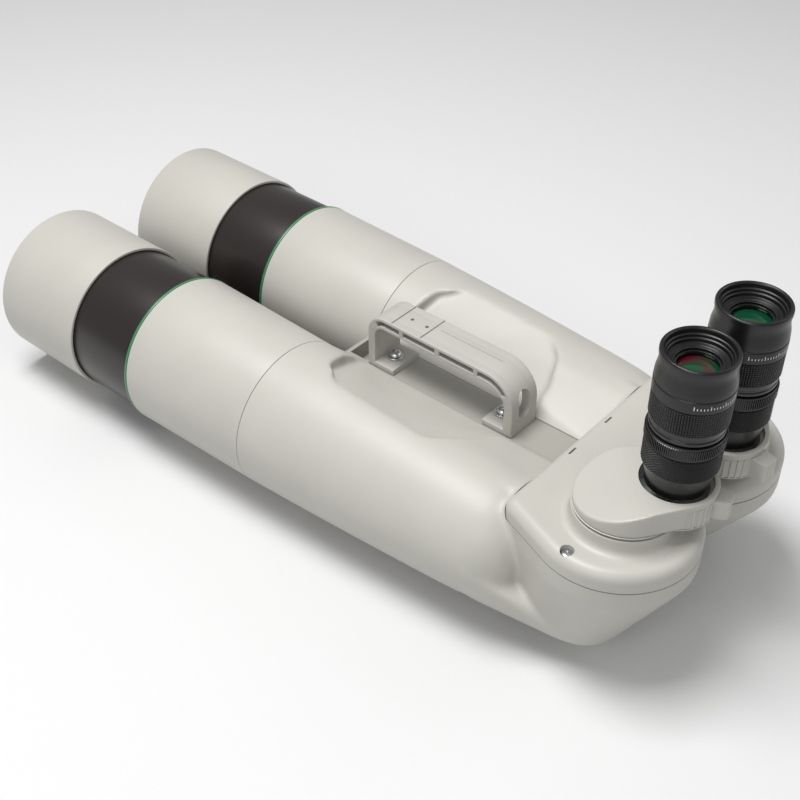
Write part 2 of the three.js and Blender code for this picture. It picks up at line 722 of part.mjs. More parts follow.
// The arm lies along +X from its pivot at the origin, its underside at z = 0.
function arm() {
  const egg = (z) => [
    ...circlePoints(0, 0, z, BOSS_R, EYEPIECE_FACETS),
    ...circlePoints(ARM_REACH, 0, z, COLLAR_R, EYEPIECE_FACETS),
  ];
  const slopeRun = ARM_SLOPE_START + BOSS_R + 10;
  const slopeEnd = ARM_HEIGHT - ARM_SLOPE * slopeRun;
  const above = [[ARM_SLOPE_START, ARM_HEIGHT], [-BOSS_R - 10, slopeEnd], [-BOSS_R - 10, 40], [ARM_SLOPE_START, 40]];
  const collarFloor = discZ(COLLAR_R, -COLLAR_DROP, RING_FLOOR - GAP, EYEPIECE_FACETS)
    .translate([ARM_REACH, 0, 0])
    .subtract(discZ(BOSS_R + 1.4, -5, 0, EYEPIECE_FACETS));
  const hub = discZ(HUB_R, -HUB_LENGTH, 1, EYEPIECE_FACETS);
  const chamberEnd = ARM_REACH - RING_BORE_R + 4;
  const chamber = [
    [-ARM_PRISM_HALF - 3, -1],
    [-ARM_PRISM_HALF - 3, 5],
    [ARM_PRISM_HALF - 2, ringTop - GAP],
    [chamberEnd, ringTop - GAP],
    [chamberEnd, RING_FLOOR - GAP],
    [HUB_R - HUB_WALL - 1, RING_FLOOR - GAP],
    [HUB_R - HUB_WALL - 1, -1],
  ];
  const slot = ringZ(RING_BORE_R - 1, 2 * COLLAR_R, RING_FLOOR - GAP, ringTop + GAP, EYEPIECE_FACETS);
  const swept = RING_R + RIB_R + 2 * GAP;
  const slotLimit = discZ(swept, 0, ARM_HEIGHT, EYEPIECE_FACETS).add(sector(91, 2 * COLLAR_R, 0, ARM_HEIGHT));
  const collarCuts = slot
    .intersect(sector(slotHalfSpan, 3 * COLLAR_R, 0, ARM_HEIGHT))
    .intersect(slotLimit)
    .add(discZ(RING_BORE_R - GAP, RING_FLOOR - GAP, ARM_HEIGHT + 1, EYEPIECE_FACETS))
    .add(discZ(COLLAR_HOLE_R, ringTop + GAP, ARM_HEIGHT + 1, EYEPIECE_FACETS))
    .translate([ARM_REACH, 0, 0]);
  return hull([...egg(0), ...egg(ARM_HEIGHT)])
    .subtract(alongX(above, 3 * BOSS_R))
    .add(collarFloor)
    .add(hub)
    .subtract(discZ(HUB_R - HUB_WALL, -HUB_LENGTH - 1, 0.5, EYEPIECE_FACETS))
    .subtract(alongX(chamber, 2 * (ARM_PRISM_HALF + ARM_PRISM_SIDE)))
    .subtract(collarCuts);
}

// A polygon in the XZ plane given a width across Y.
function alongX(points, width) {
  const shape = new THREE.Shape(outlineOf(points));
  const geometry = new THREE.ExtrudeGeometry(shape, { depth: width, bevelEnabled: false });
  geometry.translate(0, 0, -width / 2);
  geometry.rotateX(Math.PI / 2);
  return solid(geometry);
}

// Ribbed ring with a finger lobe. It is open towards the pivot, where the prism passes.
function focusRing(name) {
  const bottom = RING_FLOOR;
  const top = ringTop;
  const tip = LOBE_LENGTH[name] - 2;
  const lobeTurn = LOBE_TURN[name];
  const half = LOBE_WIDTH / 2 - 2;
  const lobeAt = (z) => [
    ...circlePoints(tip, -half, z, 2, 8),
    ...circlePoints(tip, half, z, 2, 8),
    ...circlePoints(RING_R - 3, -half - 1.5, z, 2, 8),
    ...circlePoints(RING_R - 3, half + 1.5, z, 2, 8),
  ];
  let ring = ringZ(RING_BORE_R, RING_R, bottom, top, EYEPIECE_FACETS).intersect(
    sector(RING_HALF_SPAN, 3 * RING_R, 0, ARM_HEIGHT),
  );
  ring = ring.add(hull([...lobeAt(bottom), ...lobeAt(top)]).rotate([0, 0, lobeTurn]));
  for (let i = 0; i < RIB_COUNT; i++) {
    for (const way of [-1, 1]) {
      const turn = lobeTurn + way * (RIB_FIRST + RIB_STEP * i);
      if (Math.abs(turn) > 84) continue;
      const rib = box(RING_R - 1, RING_R + RIB_R * 0.7, -RIB_R, RIB_R, bottom, top);
      ring = ring.add(rib.rotate([0, 0, turn]));
    }
  }
  return ring;
}

const cupInner = BARREL_R + GAP;
const cupOuter = HOLDER_BAND_R - 3.4;

// Slides in the collar and takes the eyepiece's barrel. Its half skirt is what the ring drives.
function eyepieceHolder() {
  const top = clampBase + CLAMP_HEIGHT;
  const seat = bodyBase - EYEPIECE_BARREL - GAP;
  const inner = HOLDER_NECK_R - SKIRT_WALL;
  const profile = [
    [inner, HOLDER_FOOT],
    [HOLDER_NECK_R, HOLDER_FOOT],
    [HOLDER_NECK_R, HOLDER_NECK],
    [HOLDER_SHOULDER_R, HOLDER_SHOULDER],
    [HOLDER_BAND_R, HOLDER_SHOULDER + 1],
    [HOLDER_BAND_R, holderTop],
    [cupOuter, holderTop],
    [cupOuter, top],
    [cupInner, top],
    [cupInner, seat],
    [cupInner - 1.8, seat],
    [cupInner - 1.8, seat - 3],
    [inner, seat - 5],
  ];
  const skirt = ringZ(inner, HOLDER_NECK_R, HOLDER_FOOT - SKIRT_DROP, HOLDER_FOOT + 0.5, EYEPIECE_FACETS);
  const half = sector(SKIRT_HALF_SPAN, 2 * HOLDER_NECK_R, -SKIRT_DROP - 5, 1);
  return turnedZ(profile, EYEPIECE_FACETS).add(skirt.intersect(half));
}

function eyepieceBody() {
  const barrelEnd = bodyBase - EYEPIECE_BARREL;
  const neckTop = gripTop + EYEPIECE_NECK;
  const profile = [
    [BARREL_R - 1.5, barrelEnd],
    [BARREL_R, barrelEnd],
    [BARREL_R, bodyBase],
    [GROOVE_R - 0.8, bodyBase],
    [GROOVE_R, bodyBase + 1],
    [GROOVE_R, bodyBase + GROOVE_HEIGHT],
    [GRIP_R, bodyBase + GROOVE_HEIGHT + 0.6],
    [GRIP_R, gripTop],
    [EYEPIECE_NECK_R, gripTop],
    [EYEPIECE_NECK_R, neckTop],
    [EYE_LENS_R - 0.6, neckTop],
    [EYE_LENS_R - 0.6, neckTop - 1.5],
    [EYE_LENS_R + GAP, neckTop - 1.5],
    [EYE_LENS_R + GAP, barrelEnd + 16],
    [FIELD_LENS_R + GAP, barrelEnd + 16],
    [FIELD_LENS_R + GAP, barrelEnd + 7],
    [BARREL_R - 1.5, barrelEnd + 7],
  ];
  return turnedZ(profile, EYEPIECE_FACETS);
}

function eyecup() {
  const top = eyecupBase + EYECUP_HEIGHT;
  const floor = gripTop + EYEPIECE_NECK + GAP;
  const profile = [
    [EYEPIECE_NECK_R + GAP, eyecupBase],
    [GRIP_R, eyecupBase],
    [EYECUP_R, eyecupBase + 4],
    [EYECUP_R - 0.4, eyecupBase + 9],
    [EYECUP_WAIST_R, eyecupBase + 17],
    [EYECUP_RIM_R, top - 1.5],
    [EYECUP_RIM_R - 0.8, top],
    [EYECUP_RIM_R - 2, top],
    [EYECUP_BORE_R + 0.5, floor + 3],
    [EYECUP_BORE_R, floor + 1.6],
    [EYE_LENS_R + 0.6, floor + 1.6],
    [EYE_LENS_R + 0.6, floor],
    [EYEPIECE_NECK_R + GAP, floor],
  ];
  return turnedZ(profile, EYEPIECE_FACETS);
}

function armAssembly(name, side) {
  const group = new THREE.Group();
  group.position.set(side * pivotOffset, PIVOT_Y, armBase);
  const turn = THREE.MathUtils.degToRad(ARM_ANGLE);
  group.rotation.z = side < 0 ? -turn : turn - Math.PI;
  const bearing = ringZ(HUB_R + GAP, BEARING_R, -HUB_LENGTH, -HUB_LENGTH + BEARING_THICK, EYEPIECE_FACETS);
  const prism = rhomboid(ARM_REACH, ARM_PRISM_HALF, 2 * ARM_PRISM_HALF).translate([0, 0, RING_FLOOR]);
  const collar = new THREE.Group();
  collar.position.x = ARM_REACH;
  const stack = new THREE.Group();
  stack.position.set(ARM_REACH, 0, ARM_HEIGHT);
  const lensTurn = [90, 0, 0];
  const barrelEnd = bodyBase - EYEPIECE_BARREL;
  const eyeLensZ = gripTop + EYEPIECE_NECK - 1.5 - GAP - 3;
  const eyeLens = lens(EYE_LENS_R, 3, 1.6, 1.2, eyeLensZ, SMALL_FACETS * 2).rotate(lensTurn);
  const fieldLens = lens(FIELD_LENS_R, 3, 1.5, 1.5, barrelEnd + 11.5, SMALL_FACETS * 2).rotate(lensTurn);
  const clamp = ringZ(cupOuter + GAP, CLAMP_R, clampBase, clampBase + CLAMP_HEIGHT, EYEPIECE_FACETS);
  collar.add(mesh(`${name}_focus_ring`, focusRing(name), greyPaint));
  stack.add(
    mesh(`${name}_eyepiece_holder`, eyepieceHolder(), satinBlack),
    mesh(`${name}_clamp_ring`, clamp, ribbedBlack),
    mesh(`${name}_eyepiece_body`, eyepieceBody(), rubberBlack),
    mesh(`${name}_field_lens`, fieldLens, clearGlass),
    mesh(`${name}_eye_lens`, eyeLens, coatedGlass),
    mesh(`${name}_eyecup`, eyecup(), rubberBlack),
  );
  group.add(
    mesh(`${name}_eyepiece_arm`, arm(), greyPaint),
    mesh(`${name}_arm_bearing_ring`, bearing, castAlloy),
    mesh(`${name}_arm_prism`, prism, clearGlass),
    collar,
    stack,
  );
  return group;
}

// ---------------------------------------------------------------- bridge, handle and foot
function bothBarrels(offset) {
  const half = BARREL_SPACING / 2;
  const barrel = barrelSolid(offset, 10, BARREL_FACETS);
  return barrel.translate([-half, 0, 0]).add(barrel.translate([half, 0, 0]));
}

function bridgeDeck() {
  const [pocketHalf, pocketFront, pocketRear, pocketDepth] = DECK_POCKET;
  const rear = BOX_FRONT_Y + GAP;
  const bottom = DECK_Z - DECK_DEPTH;
  const half = DECK_HALF_WIDTH - GAP;
  let deck = box(-half, half, rear, DECK_FRONT_Y, bottom, DECK_Z);
  const hollowHalf = FOOT_NECK_HALF_WIDTH;
  deck = deck
    .subtract(box(-hollowHalf, hollowHalf, rear + DECK_RIB, pocketRear - DECK_RIB, bottom - 1, DECK_Z - DECK_THICK))
    .subtract(box(-pocketHalf, pocketHalf, pocketRear, pocketFront, DECK_Z - pocketDepth, DECK_Z + 1))
    .subtract(bothBarrels(GAP));
  for (const y of HANDLE_SCREW_Y) {
    deck = deck.subtract(drill(HANDLE_SCREW_SHANK_R + GAP, 0, y, bottom - 1, DECK_Z + 1));
  }
  return deck;
}

function handleOutline() {
  const base = DECK_Z + GAP;
  const shape = new THREE.Shape();
  shape.moveTo(HANDLE_REAR_Y, base);
  shape.lineTo(HANDLE_REAR_Y + HANDLE_REAR_LEG + HANDLE_FOOT, base);
  shape.lineTo(HANDLE_REAR_Y + HANDLE_REAR_LEG + HANDLE_FOOT, base + HANDLE_FOOT_THICK);
  shape.lineTo(HANDLE_REAR_Y + HANDLE_REAR_LEG, base + HANDLE_FOOT_THICK);
  const rearInner = HANDLE_REAR_ROUND - HANDLE_REAR_LEG;
  const under = HANDLE_TOP_Z - HANDLE_BAR;
  shape.lineTo(HANDLE_REAR_Y + HANDLE_REAR_LEG, under - rearInner);
  shape.quadraticCurveTo(HANDLE_REAR_Y + HANDLE_REAR_LEG, under, HANDLE_REAR_Y + HANDLE_REAR_ROUND, under);
  const frontInner = HANDLE_FRONT_ROUND - HANDLE_FRONT_LEG;
  shape.lineTo(HANDLE_FRONT_Y - HANDLE_FRONT_ROUND, under);
  shape.quadraticCurveTo(HANDLE_FRONT_Y - HANDLE_FRONT_LEG, under, HANDLE_FRONT_Y - HANDLE_FRONT_LEG, under - frontInner);
  shape.lineTo(HANDLE_FRONT_Y - HANDLE_FRONT_LEG, base + HANDLE_FOOT_THICK);
  shape.lineTo(HANDLE_FRONT_Y - HANDLE_FRONT_LEG - HANDLE_FOOT, base + HANDLE_FOOT_THICK);
  shape.lineTo(HANDLE_FRONT_Y - HANDLE_FRONT_LEG - HANDLE_FOOT, base);
  shape.lineTo(HANDLE_FRONT_Y, base);
  shape.absarc(HANDLE_FRONT_Y - HANDLE_FRONT_ROUND, HANDLE_TOP_Z - HANDLE_FRONT_ROUND, HANDLE_FRONT_ROUND, 0, Math.PI / 2, false);
  shape.absarc(HANDLE_REAR_Y + HANDLE_REAR_ROUND, HANDLE_TOP_Z - HANDLE_REAR_ROUND, HANDLE_REAR_ROUND, Math.PI / 2, Math.PI, false);
  return shape;
}

function handle() {
  const half = HANDLE_WIDTH / 2;
  let made = acrossX(handleOutline(), HANDLE_WIDTH);
  const slotTop = HANDLE_TOP_Z - (HANDLE_BAR - HANDLE_SLOT_HEIGHT) / 2;
  for (const [front, rear] of HANDLE_SLOTS) {
    for (const side of [-1, 1]) {
      const outer = side * (half + 1);
      const inner = side * (half - HANDLE_SLOT_DEPTH);
      const slot = box(Math.min(inner, outer), Math.max(inner, outer), rear, front, slotTop - HANDLE_SLOT_HEIGHT, slotTop);
      made = made.subtract(slot);
    }
  }
  const [holeHalf, holeHeight] = STRAP_HOLE;
  const arch = new THREE.Shape();
  arch.absarc(0, STRAP_HOLE_Z + holeHeight / 2 - holeHalf, holeHalf, 0, Math.PI, false);
  arch.absarc(0, STRAP_HOLE_Z - holeHeight / 2 + holeHalf, holeHalf, Math.PI, 2 * Math.PI, false);
  const strapHole = acrossX(arch, 3 * HANDLE_REAR_LEG).rotate([0, 0, 90]).translate([0, HANDLE_REAR_Y, 0]);
  made = made.subtract(strapHole);
  for (const y of SIGHT_HOLE_Y) {
    made = made.subtract(drill(SIGHT_HOLE_R, 0, y, HANDLE_TOP_Z - 2 * HANDLE_BAR, HANDLE_TOP_Z + 1));
  }
  for (const y of HANDLE_SCREW_Y) {
    made = made.subtract(drill(HANDLE_SCREW_SHANK_R + GAP, 0, y, DECK_Z - 1, DECK_Z + HANDLE_FOOT_THICK + 2));
  }
  return made;
}

function mountingFoot() {
  const deckUnder = DECK_Z - DECK_THICK - GAP;
  let foot = box(-FOOT_HALF_WIDTH, FOOT_HALF_WIDTH, -FOOT_LENGTH / 2, FOOT_LENGTH / 2, 0, FOOT_THICK);
  const neckHalf = FOOT_NECK_HALF_WIDTH - GAP;
  const neckFront = SEAM_Y + DECK_POCKET[2] - DECK_RIB - GAP;
  const neckRear = -FOOT_LENGTH / 2 + 5;
  foot = foot.add(box(-neckHalf, neckHalf, neckRear, neckFront, 1, AXIS_HEIGHT + deckUnder));
  for (const y of FOOT_HOLE_Y) foot = foot.subtract(drill(FOOT_HOLE_R, 0, y, -1, FOOT_THICK));
  for (const y of HANDLE_SCREW_Y) {
    const clear = drill(HANDLE_SCREW_SHANK_R + 1, 0, y + SEAM_Y, AXIS_HEIGHT + deckUnder - 12, AXIS_HEIGHT + DECK_Z);
    foot = foot.subtract(clear);
  }
  return foot;
}

function bridgeAssembly() {
  const group = new THREE.Group();
  group.add(mesh("bridge_deck", bridgeDeck(), greyPaint), mesh("carry_handle", handle(), greyPaint));
  const footTop = DECK_Z + GAP + HANDLE_FOOT_THICK;
  const place = { front: HANDLE_SCREW_Y[0], rear: HANDLE_SCREW_Y[1] };
  for (const [name, y] of Object.entries(place)) {
    const washer = ringZ(HANDLE_SCREW_SHANK_R + GAP, WASHER_R, 0, WASHER_THICK, SMALL_FACETS * 2);
    const washerMesh = mesh(`${name}_handle_washer`, washer, zinc);
    washerMesh.position.set(0, y, footTop + GAP);
    const made = screw(HANDLE_SCREW_R, HANDLE_SCREW_HEAD, HANDLE_SCREW_SHANK_R, HANDLE_SCREW_LENGTH);
    const screwMesh = mesh(`${name}_handle_screw`, made, zinc);
    screwMesh.position.set(0, y, footTop + WASHER_THICK + 2 * GAP);
    group.add(washerMesh, screwMesh);
  }
  return group;
}

// ---------------------------------------------------------------- the binoculars
const binoculars = new THREE.Group();
const upper = new THREE.Group(); // measured from the seam plane and the barrel axes
upper.position.set(0, SEAM_Y, AXIS_HEIGHT);
upper.add(bridgeAssembly(), coverAssembly());
for (const [name, side] of Object.entries(sides)) {
  upper.add(objectiveEnd(name, side), housingEnd(name, side), armAssembly(name, side));
}
binoculars.add(upper, mesh("mounting_foot", mountingFoot(), castAlloy));

export default binoculars;
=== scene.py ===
import math
import bpy
import bmesh
from mathutils import Matrix, Vector


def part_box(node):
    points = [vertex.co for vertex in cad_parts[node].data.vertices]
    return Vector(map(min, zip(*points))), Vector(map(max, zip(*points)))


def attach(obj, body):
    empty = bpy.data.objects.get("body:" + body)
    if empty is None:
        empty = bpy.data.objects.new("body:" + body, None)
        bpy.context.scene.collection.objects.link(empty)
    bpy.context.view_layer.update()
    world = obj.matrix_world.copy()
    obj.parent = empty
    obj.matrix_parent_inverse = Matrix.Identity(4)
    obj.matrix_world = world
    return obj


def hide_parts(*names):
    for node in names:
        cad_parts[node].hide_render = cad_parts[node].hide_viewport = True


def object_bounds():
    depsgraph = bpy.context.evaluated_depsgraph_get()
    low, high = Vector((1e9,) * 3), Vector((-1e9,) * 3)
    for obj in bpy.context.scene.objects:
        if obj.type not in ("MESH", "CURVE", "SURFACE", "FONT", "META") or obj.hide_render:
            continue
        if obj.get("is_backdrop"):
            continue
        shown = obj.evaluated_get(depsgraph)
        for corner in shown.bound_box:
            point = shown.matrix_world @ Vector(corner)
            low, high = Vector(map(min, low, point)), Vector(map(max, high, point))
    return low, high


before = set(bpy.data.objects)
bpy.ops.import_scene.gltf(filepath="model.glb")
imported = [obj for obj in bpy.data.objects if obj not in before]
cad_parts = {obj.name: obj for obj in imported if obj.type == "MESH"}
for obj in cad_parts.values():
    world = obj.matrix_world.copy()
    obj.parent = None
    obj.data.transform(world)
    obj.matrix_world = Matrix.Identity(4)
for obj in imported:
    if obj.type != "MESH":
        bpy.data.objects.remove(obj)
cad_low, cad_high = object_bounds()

# ---------------------------------------------------------------- camera, floor and light
# A long lens looks down on the instrument from behind its left-hand side, the eyepieces nearest.
# The sweep below is pale paper, lit by large soft boxes and an even white surround.
camera_data = bpy.data.cameras.new("camera")
camera_data.lens = 58.8
camera_data.sensor_width = 36.0
camera_data.clip_end = 20.0
camera = bpy.data.objects.new("camera", camera_data)
bpy.context.scene.collection.objects.link(camera)
azimuth = math.radians(-49.515)
elevation = math.radians(39.06)
back = Vector((math.sin(azimuth) * math.cos(elevation), -math.cos(azimuth) * math.cos(elevation),
    math.sin(elevation)))
aim = (-back).to_track_quat("-Z", "Y").to_matrix().to_4x4()
camera.matrix_world = Matrix.Translation((-0.54376, -0.44407,
    0.63024)) @ aim @ Matrix.Rotation(math.radians(0.48), 4, "Z")
bpy.context.scene.camera = camera

floor_mesh = bpy.data.meshes.new("floor")
floor_mesh.from_pydata([(-8, -8, 0), (8, -8, 0), (8, 8, 0), (-8, 8, 0)], [], [(0, 1, 2, 3)])
floor = bpy.data.objects.new("floor", floor_mesh)
floor.location.z = cad_low[2] - 0.0002
bpy.context.scene.collection.objects.link(floor)
floor_paint = bpy.data.materials.new("floor_paper")
floor_paint.use_nodes = True
floor_shader = floor_paint.node_tree.nodes["Principled BSDF"]
floor_shader.inputs["Base Color"].default_value = (0.66, 0.66, 0.66, 1)
floor_shader.inputs["Roughness"].default_value = 0.9
floor_mesh.materials.append(floor_paint)
floor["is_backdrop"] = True

bpy.context.scene.view_settings.view_transform = "Standard"
world = bpy.data.worlds.new("studio")
bpy.context.scene.world = world
world.use_nodes = True
world.node_tree.nodes["Background"].inputs["Color"].default_value = (1, 1, 1, 1)
world.node_tree.nodes["Background"].inputs["Strength"].default_value = 0.34


def softbox(name, place, target, size, power):
    data = bpy.data.lights.new(name, "AREA")
    data.shape = "RECTANGLE"
    data.size = size[0]
    data.size_y = size[1]
    data.energy = power
    light = bpy.data.objects.new(name, data)
    bpy.context.scene.collection.objects.link(light)
    light.location = place
    light.rotation_euler = (Vector(target) - Vector(place)).to_track_quat("-Z", "Y").to_euler()


softbox("key_box", (-0.3, 0.25, 1.6), (0, 0, 0.05), (0.8, 0.6), 27)
softbox("fill_box", (0.9, -0.9, 0.9), (0, -0.1, 0.1), (0.9, 0.9), 3)
softbox("side_box", (-1.2, -0.4, 0.9), (0, 0, 0.05), (0.9, 0.4), 4.5)

# ---------------------------------------------------------------- dew shields
# Each shield is a thin painted aluminium tube that slides back over the objective cell.
# The outside has the instrument's pale grey coat; the inside is blackened against stray light.


def shade(mesh, angle=35):
    soft = bmesh.new()
    soft.from_mesh(mesh)
    bmesh.ops.recalc_face_normals(soft, faces=soft.faces)
    for face in soft.faces:
        face.smooth = True
    for edge in soft.edges:
        edge.smooth = len(edge.link_faces) == 2 and edge.calc_face_angle() < math.radians(angle)
    soft.to_mesh(mesh)
    soft.free()


def piece(name, mesh, materials, body, nodes, angle=35):
    if angle:
        shade(mesh, angle)
    made = bpy.data.objects.new(name, mesh)
    bpy.context.scene.collection.objects.link(made)
    for material in materials:
        mesh.materials.append(material)
    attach(made, body)
    if nodes:
        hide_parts(*nodes)
    return made


def rounded(profile, radius, closed=True):
    # Every corner of a polyline, in millimetres, turned into a short arc.
    out = []
    count = len(profile)
    for i, point in enumerate(profile):
        here = Vector(point)
        if not closed and i in (0, count - 1):
            out.append(here)
            continue
        before = Vector(profile[i - 1]) - here
        after = Vector(profile[(i + 1) % count]) - here
        if before.length < 1e-6 or after.length < 1e-6:
            continue
        turn = math.pi - before.angle(after)
        if turn < math.radians(22):
            out.append(here)
            continue
        reach = min(radius, before.length * 0.45, after.length * 0.45)
        start = here + before.normalized() * reach
        end = here + after.normalized() * reach
        for step in range(4):
            t = step / 3
            out.append((1 - t) ** 2 * start + 2 * t * (1 - t) * here + t * t * end)
    return out


def turned(name, profile, centre, axis, steps=128, closed=True, black=()):
    # A surface of revolution from (radius, height) millimetres; centre in metres.
    mesh = bpy.data.meshes.new(name)
    bm = bmesh.new()
    rings = []
    for radius, height in profile:
        if radius < 1e-6:
            ring = [bm.verts.new((0, 0, height / 1000))] * steps
        else:
            ring = []
            for i in range(steps):
                a = 2 * math.pi * i / steps
                ring.append(bm.verts.new((radius / 1000 * math.cos(a), radius / 1000 * math.sin(a),
                    height / 1000)))
        rings.append(ring)
    pairs = list(zip(rings, rings[1:]))
    if closed:
        pairs.append((rings[-1], rings[0]))
    for k, (low, high) in enumerate(pairs):
        for i in range(steps):
            j = (i + 1) % steps
            corners = list(dict.fromkeys([low[i], low[j], high[j], high[i]]))
            if len(corners) > 2:
                face = bm.faces.new(corners)
                if black and black[0] <= k < black[1]:
                    face.material_index = 1
    if axis == "Y":
        bmesh.ops.rotate(bm, verts=bm.verts, cent=(0, 0, 0),
            matrix=Matrix.Rotation(math.radians(-90), 3, "X"))
    bmesh.ops.translate(bm, verts=bm.verts, vec=centre)
    bm.to_mesh(mesh)
    bm.free()
    return mesh


def coat(name, color, roughness, metal=0.0, grain=1100, bump=0.12, mottle=0.03, spec=0.5, clear=0.0):
    # Paint or moulded plastic: fine grain in the bump, slow drift in the colour and the gloss.
    made = bpy.data.materials.new(name)
    made.use_nodes = True
    tree = made.node_tree
    shader = tree.nodes["Principled BSDF"]
    shader.inputs["Metallic"].default_value = metal
    shader.inputs["Specular IOR Level"].default_value = spec
    shader.inputs["Coat Weight"].default_value = clear
    shader.inputs["Coat Roughness"].default_value = 0.25
    where = tree.nodes.new("ShaderNodeTexCoord")
    fine = tree.nodes.new("ShaderNodeTexNoise")
    fine.inputs["Scale"].default_value = grain
    fine.inputs["Detail"].default_value = 3
    slow = tree.nodes.new("ShaderNodeTexNoise")
    slow.inputs["Scale"].default_value = 18
    slow.inputs["Detail"].default_value = 4
    tree.links.new(where.outputs["Object"], fine.inputs["Vector"])
    tree.links.new(where.outputs["Object"], slow.inputs["Vector"])
    tint = tree.nodes.new("ShaderNodeValToRGB")
    tint.color_ramp.elements[0].position = 0.3
    tint.color_ramp.elements[1].position = 0.7
    tint.color_ramp.elements[0].color = (*(c * (1 - mottle) for c in color), 1)
    tint.color_ramp.elements[1].color = (*(min(1, c * (1 + mottle)) for c in color), 1)
    tree.links.new(slow.outputs["Fac"], tint.inputs["Fac"])
    tree.links.new(tint.outputs["Color"], shader.inputs["Base Color"])
    gloss = tree.nodes.new("ShaderNodeMapRange")
    gloss.inputs["To Min"].default_value = roughness - 0.05
    gloss.inputs["To Max"].default_value = roughness + 0.07
    tree.links.new(fine.outputs["Fac"], gloss.inputs["Value"])
    tree.links.new(gloss.outputs["Result"], shader.inputs["Roughness"])
    relief = tree.nodes.new("ShaderNodeBump")
    relief.inputs["Strength"].default_value = bump
    relief.inputs["Distance"].default_value = 0.0003
    tree.links.new(fine.outputs["Fac"], relief.inputs["Height"])
    tree.links.new(relief.outputs["Normal"], shader.inputs["Normal"])
    return made


grey = coat("grey_coat", (0.445, 0.435, 0.395), 0.46)
grey_smooth = coat("grey_smooth", (0.445, 0.435, 0.395), 0.42, bump=0.05, grain=1600)
flat_black = coat("flat_black", (0.012, 0.012, 0.012), 0.75, bump=0.2)

for side in ("left", "right"):
    low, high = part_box(f"{side}_dew_shield")
    axis_x = (low[0] + high[0]) / 2
    axis_z = (low[2] + high[2]) / 2
    outer = (high[0] - low[0]) * 500
    length = (high[1] - low[1]) * 1000
    profile = [(outer - 2.35, 0), (outer, 0), (outer, length), (outer - 1.8, length), (outer - 1.8,
        8), (outer - 2.35, 8)]
    made = turned("shield", rounded(profile, 0.7), (axis_x, low[1], axis_z), "Y", 160, black=(13, 24))
    piece(f"{side}_shield_tube", made, [grey_smooth, flat_black], f"{side}_shield",
        [f"{side}_dew_shield"])

# ---------------------------------------------------------------- objective cells
# The cell is turned aluminium with a satin black anodised skin that looks brown where it shines.
# It screws into the front tube against a thin green trim ring and holds the glass.
anodised = coat("anodised_black", (0.016, 0.0125, 0.0115), 0.3, metal=0.0, grain=2400, bump=0.03, spec=0.55)
green = coat("green_trim", (0.035, 0.19, 0.075), 0.35, bump=0.03, clear=0.3)
for side in ("left", "right"):
    low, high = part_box(f"{side}_objective_cell")
    axis = Vector(((low[0] + high[0]) / 2, 0, (low[2] + high[2]) / 2))
    length = (high[1] - low[1]) * 1000
    outer = (high[0] - low[0]) * 500
    front = length
    profile = [(50, 0), (52.7, 0), (52.7, 16), (outer, 16), (outer, front), (51.3, front)]
    profile += [(51.3, front - 22.6), (50, front - 22.6)]
    made = turned("cell", rounded(profile, 0.5), axis + Vector((0, low[1], 0)), "Y", 160)
    piece(f"{side}_cell_tube", made, [anodised], "frame", [f"{side}_objective_cell"])
    low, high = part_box(f"{side}_trim_ring")
    outer = (high[0] - low[0]) * 500
    width = (high[1] - low[1]) * 1000
    profile = [(53.2, 0), (outer - 0.2, 0), (outer, width * 0.5), (outer - 0.2, width), (53.2, width)]
    made = turned("trim", rounded(profile, 0.3), axis + Vector((0, low[1], 0)), "Y", 160)
    piece(f"{side}_green_band", made, [green], "frame", [f"{side}_trim_ring"])

# ---------------------------------------------------------------- objective glass
# A pair of ground and polished lenses behind a black threaded ring. The front
# surface carries a faint green multicoat.


def glass(name, color, alpha, tint):
    made = bpy.data.materials.new(name)
    made.use_nodes = True
    tree = made.node_tree
    shader = tree.nodes["Principled BSDF"]
    shader.inputs["Roughness"].default_value = 0.02
    shader.inputs["IOR"].default_value = 1.52
    shader.inputs["Alpha"].default_value = alpha
    shader.inputs["Specular IOR Level"].default_value = 0.8
    shader.inputs["Specular Tint"].default_value = tint
    where = tree.nodes.new("ShaderNodeTexCoord")
    slow = tree.nodes.new("ShaderNodeTexNoise")
    slow.inputs["Scale"].default_value = 9
    tree.links.new(where.outputs["Object"], slow.inputs["Vector"])
    ramp = tree.nodes.new("ShaderNodeValToRGB")
    ramp.color_ramp.elements[0].color = (*(c * 0.85 for c in color), 1)
    ramp.color_ramp.elements[1].color = (*color, 1)
    tree.links.new(slow.outputs["Fac"], ramp.inputs["Fac"])
    tree.links.new(ramp.outputs["Color"], shader.inputs["Base Color"])
    return made


coated = glass("coated_glass", (0.02, 0.09, 0.05), 0.5, (0.5, 1.0, 0.7, 1))
clear = glass("clear_glass", (0.2, 0.25, 0.24), 0.25, (1, 1, 1, 1))


def lens_profile(radius, edge, rear, front, steps=10):
    # (radius, height) of a lens centred on zero; a positive bulge stands out.
    out = []
    for i in range(steps + 1):
        t = i / steps
        out.append((radius * t, -edge / 2 - rear * (1 - t * t)))
    for i in range(steps + 1):
        t = 1 - i / steps
        out.append((radius * t, edge / 2 + front * (1 - t * t)))
    return out


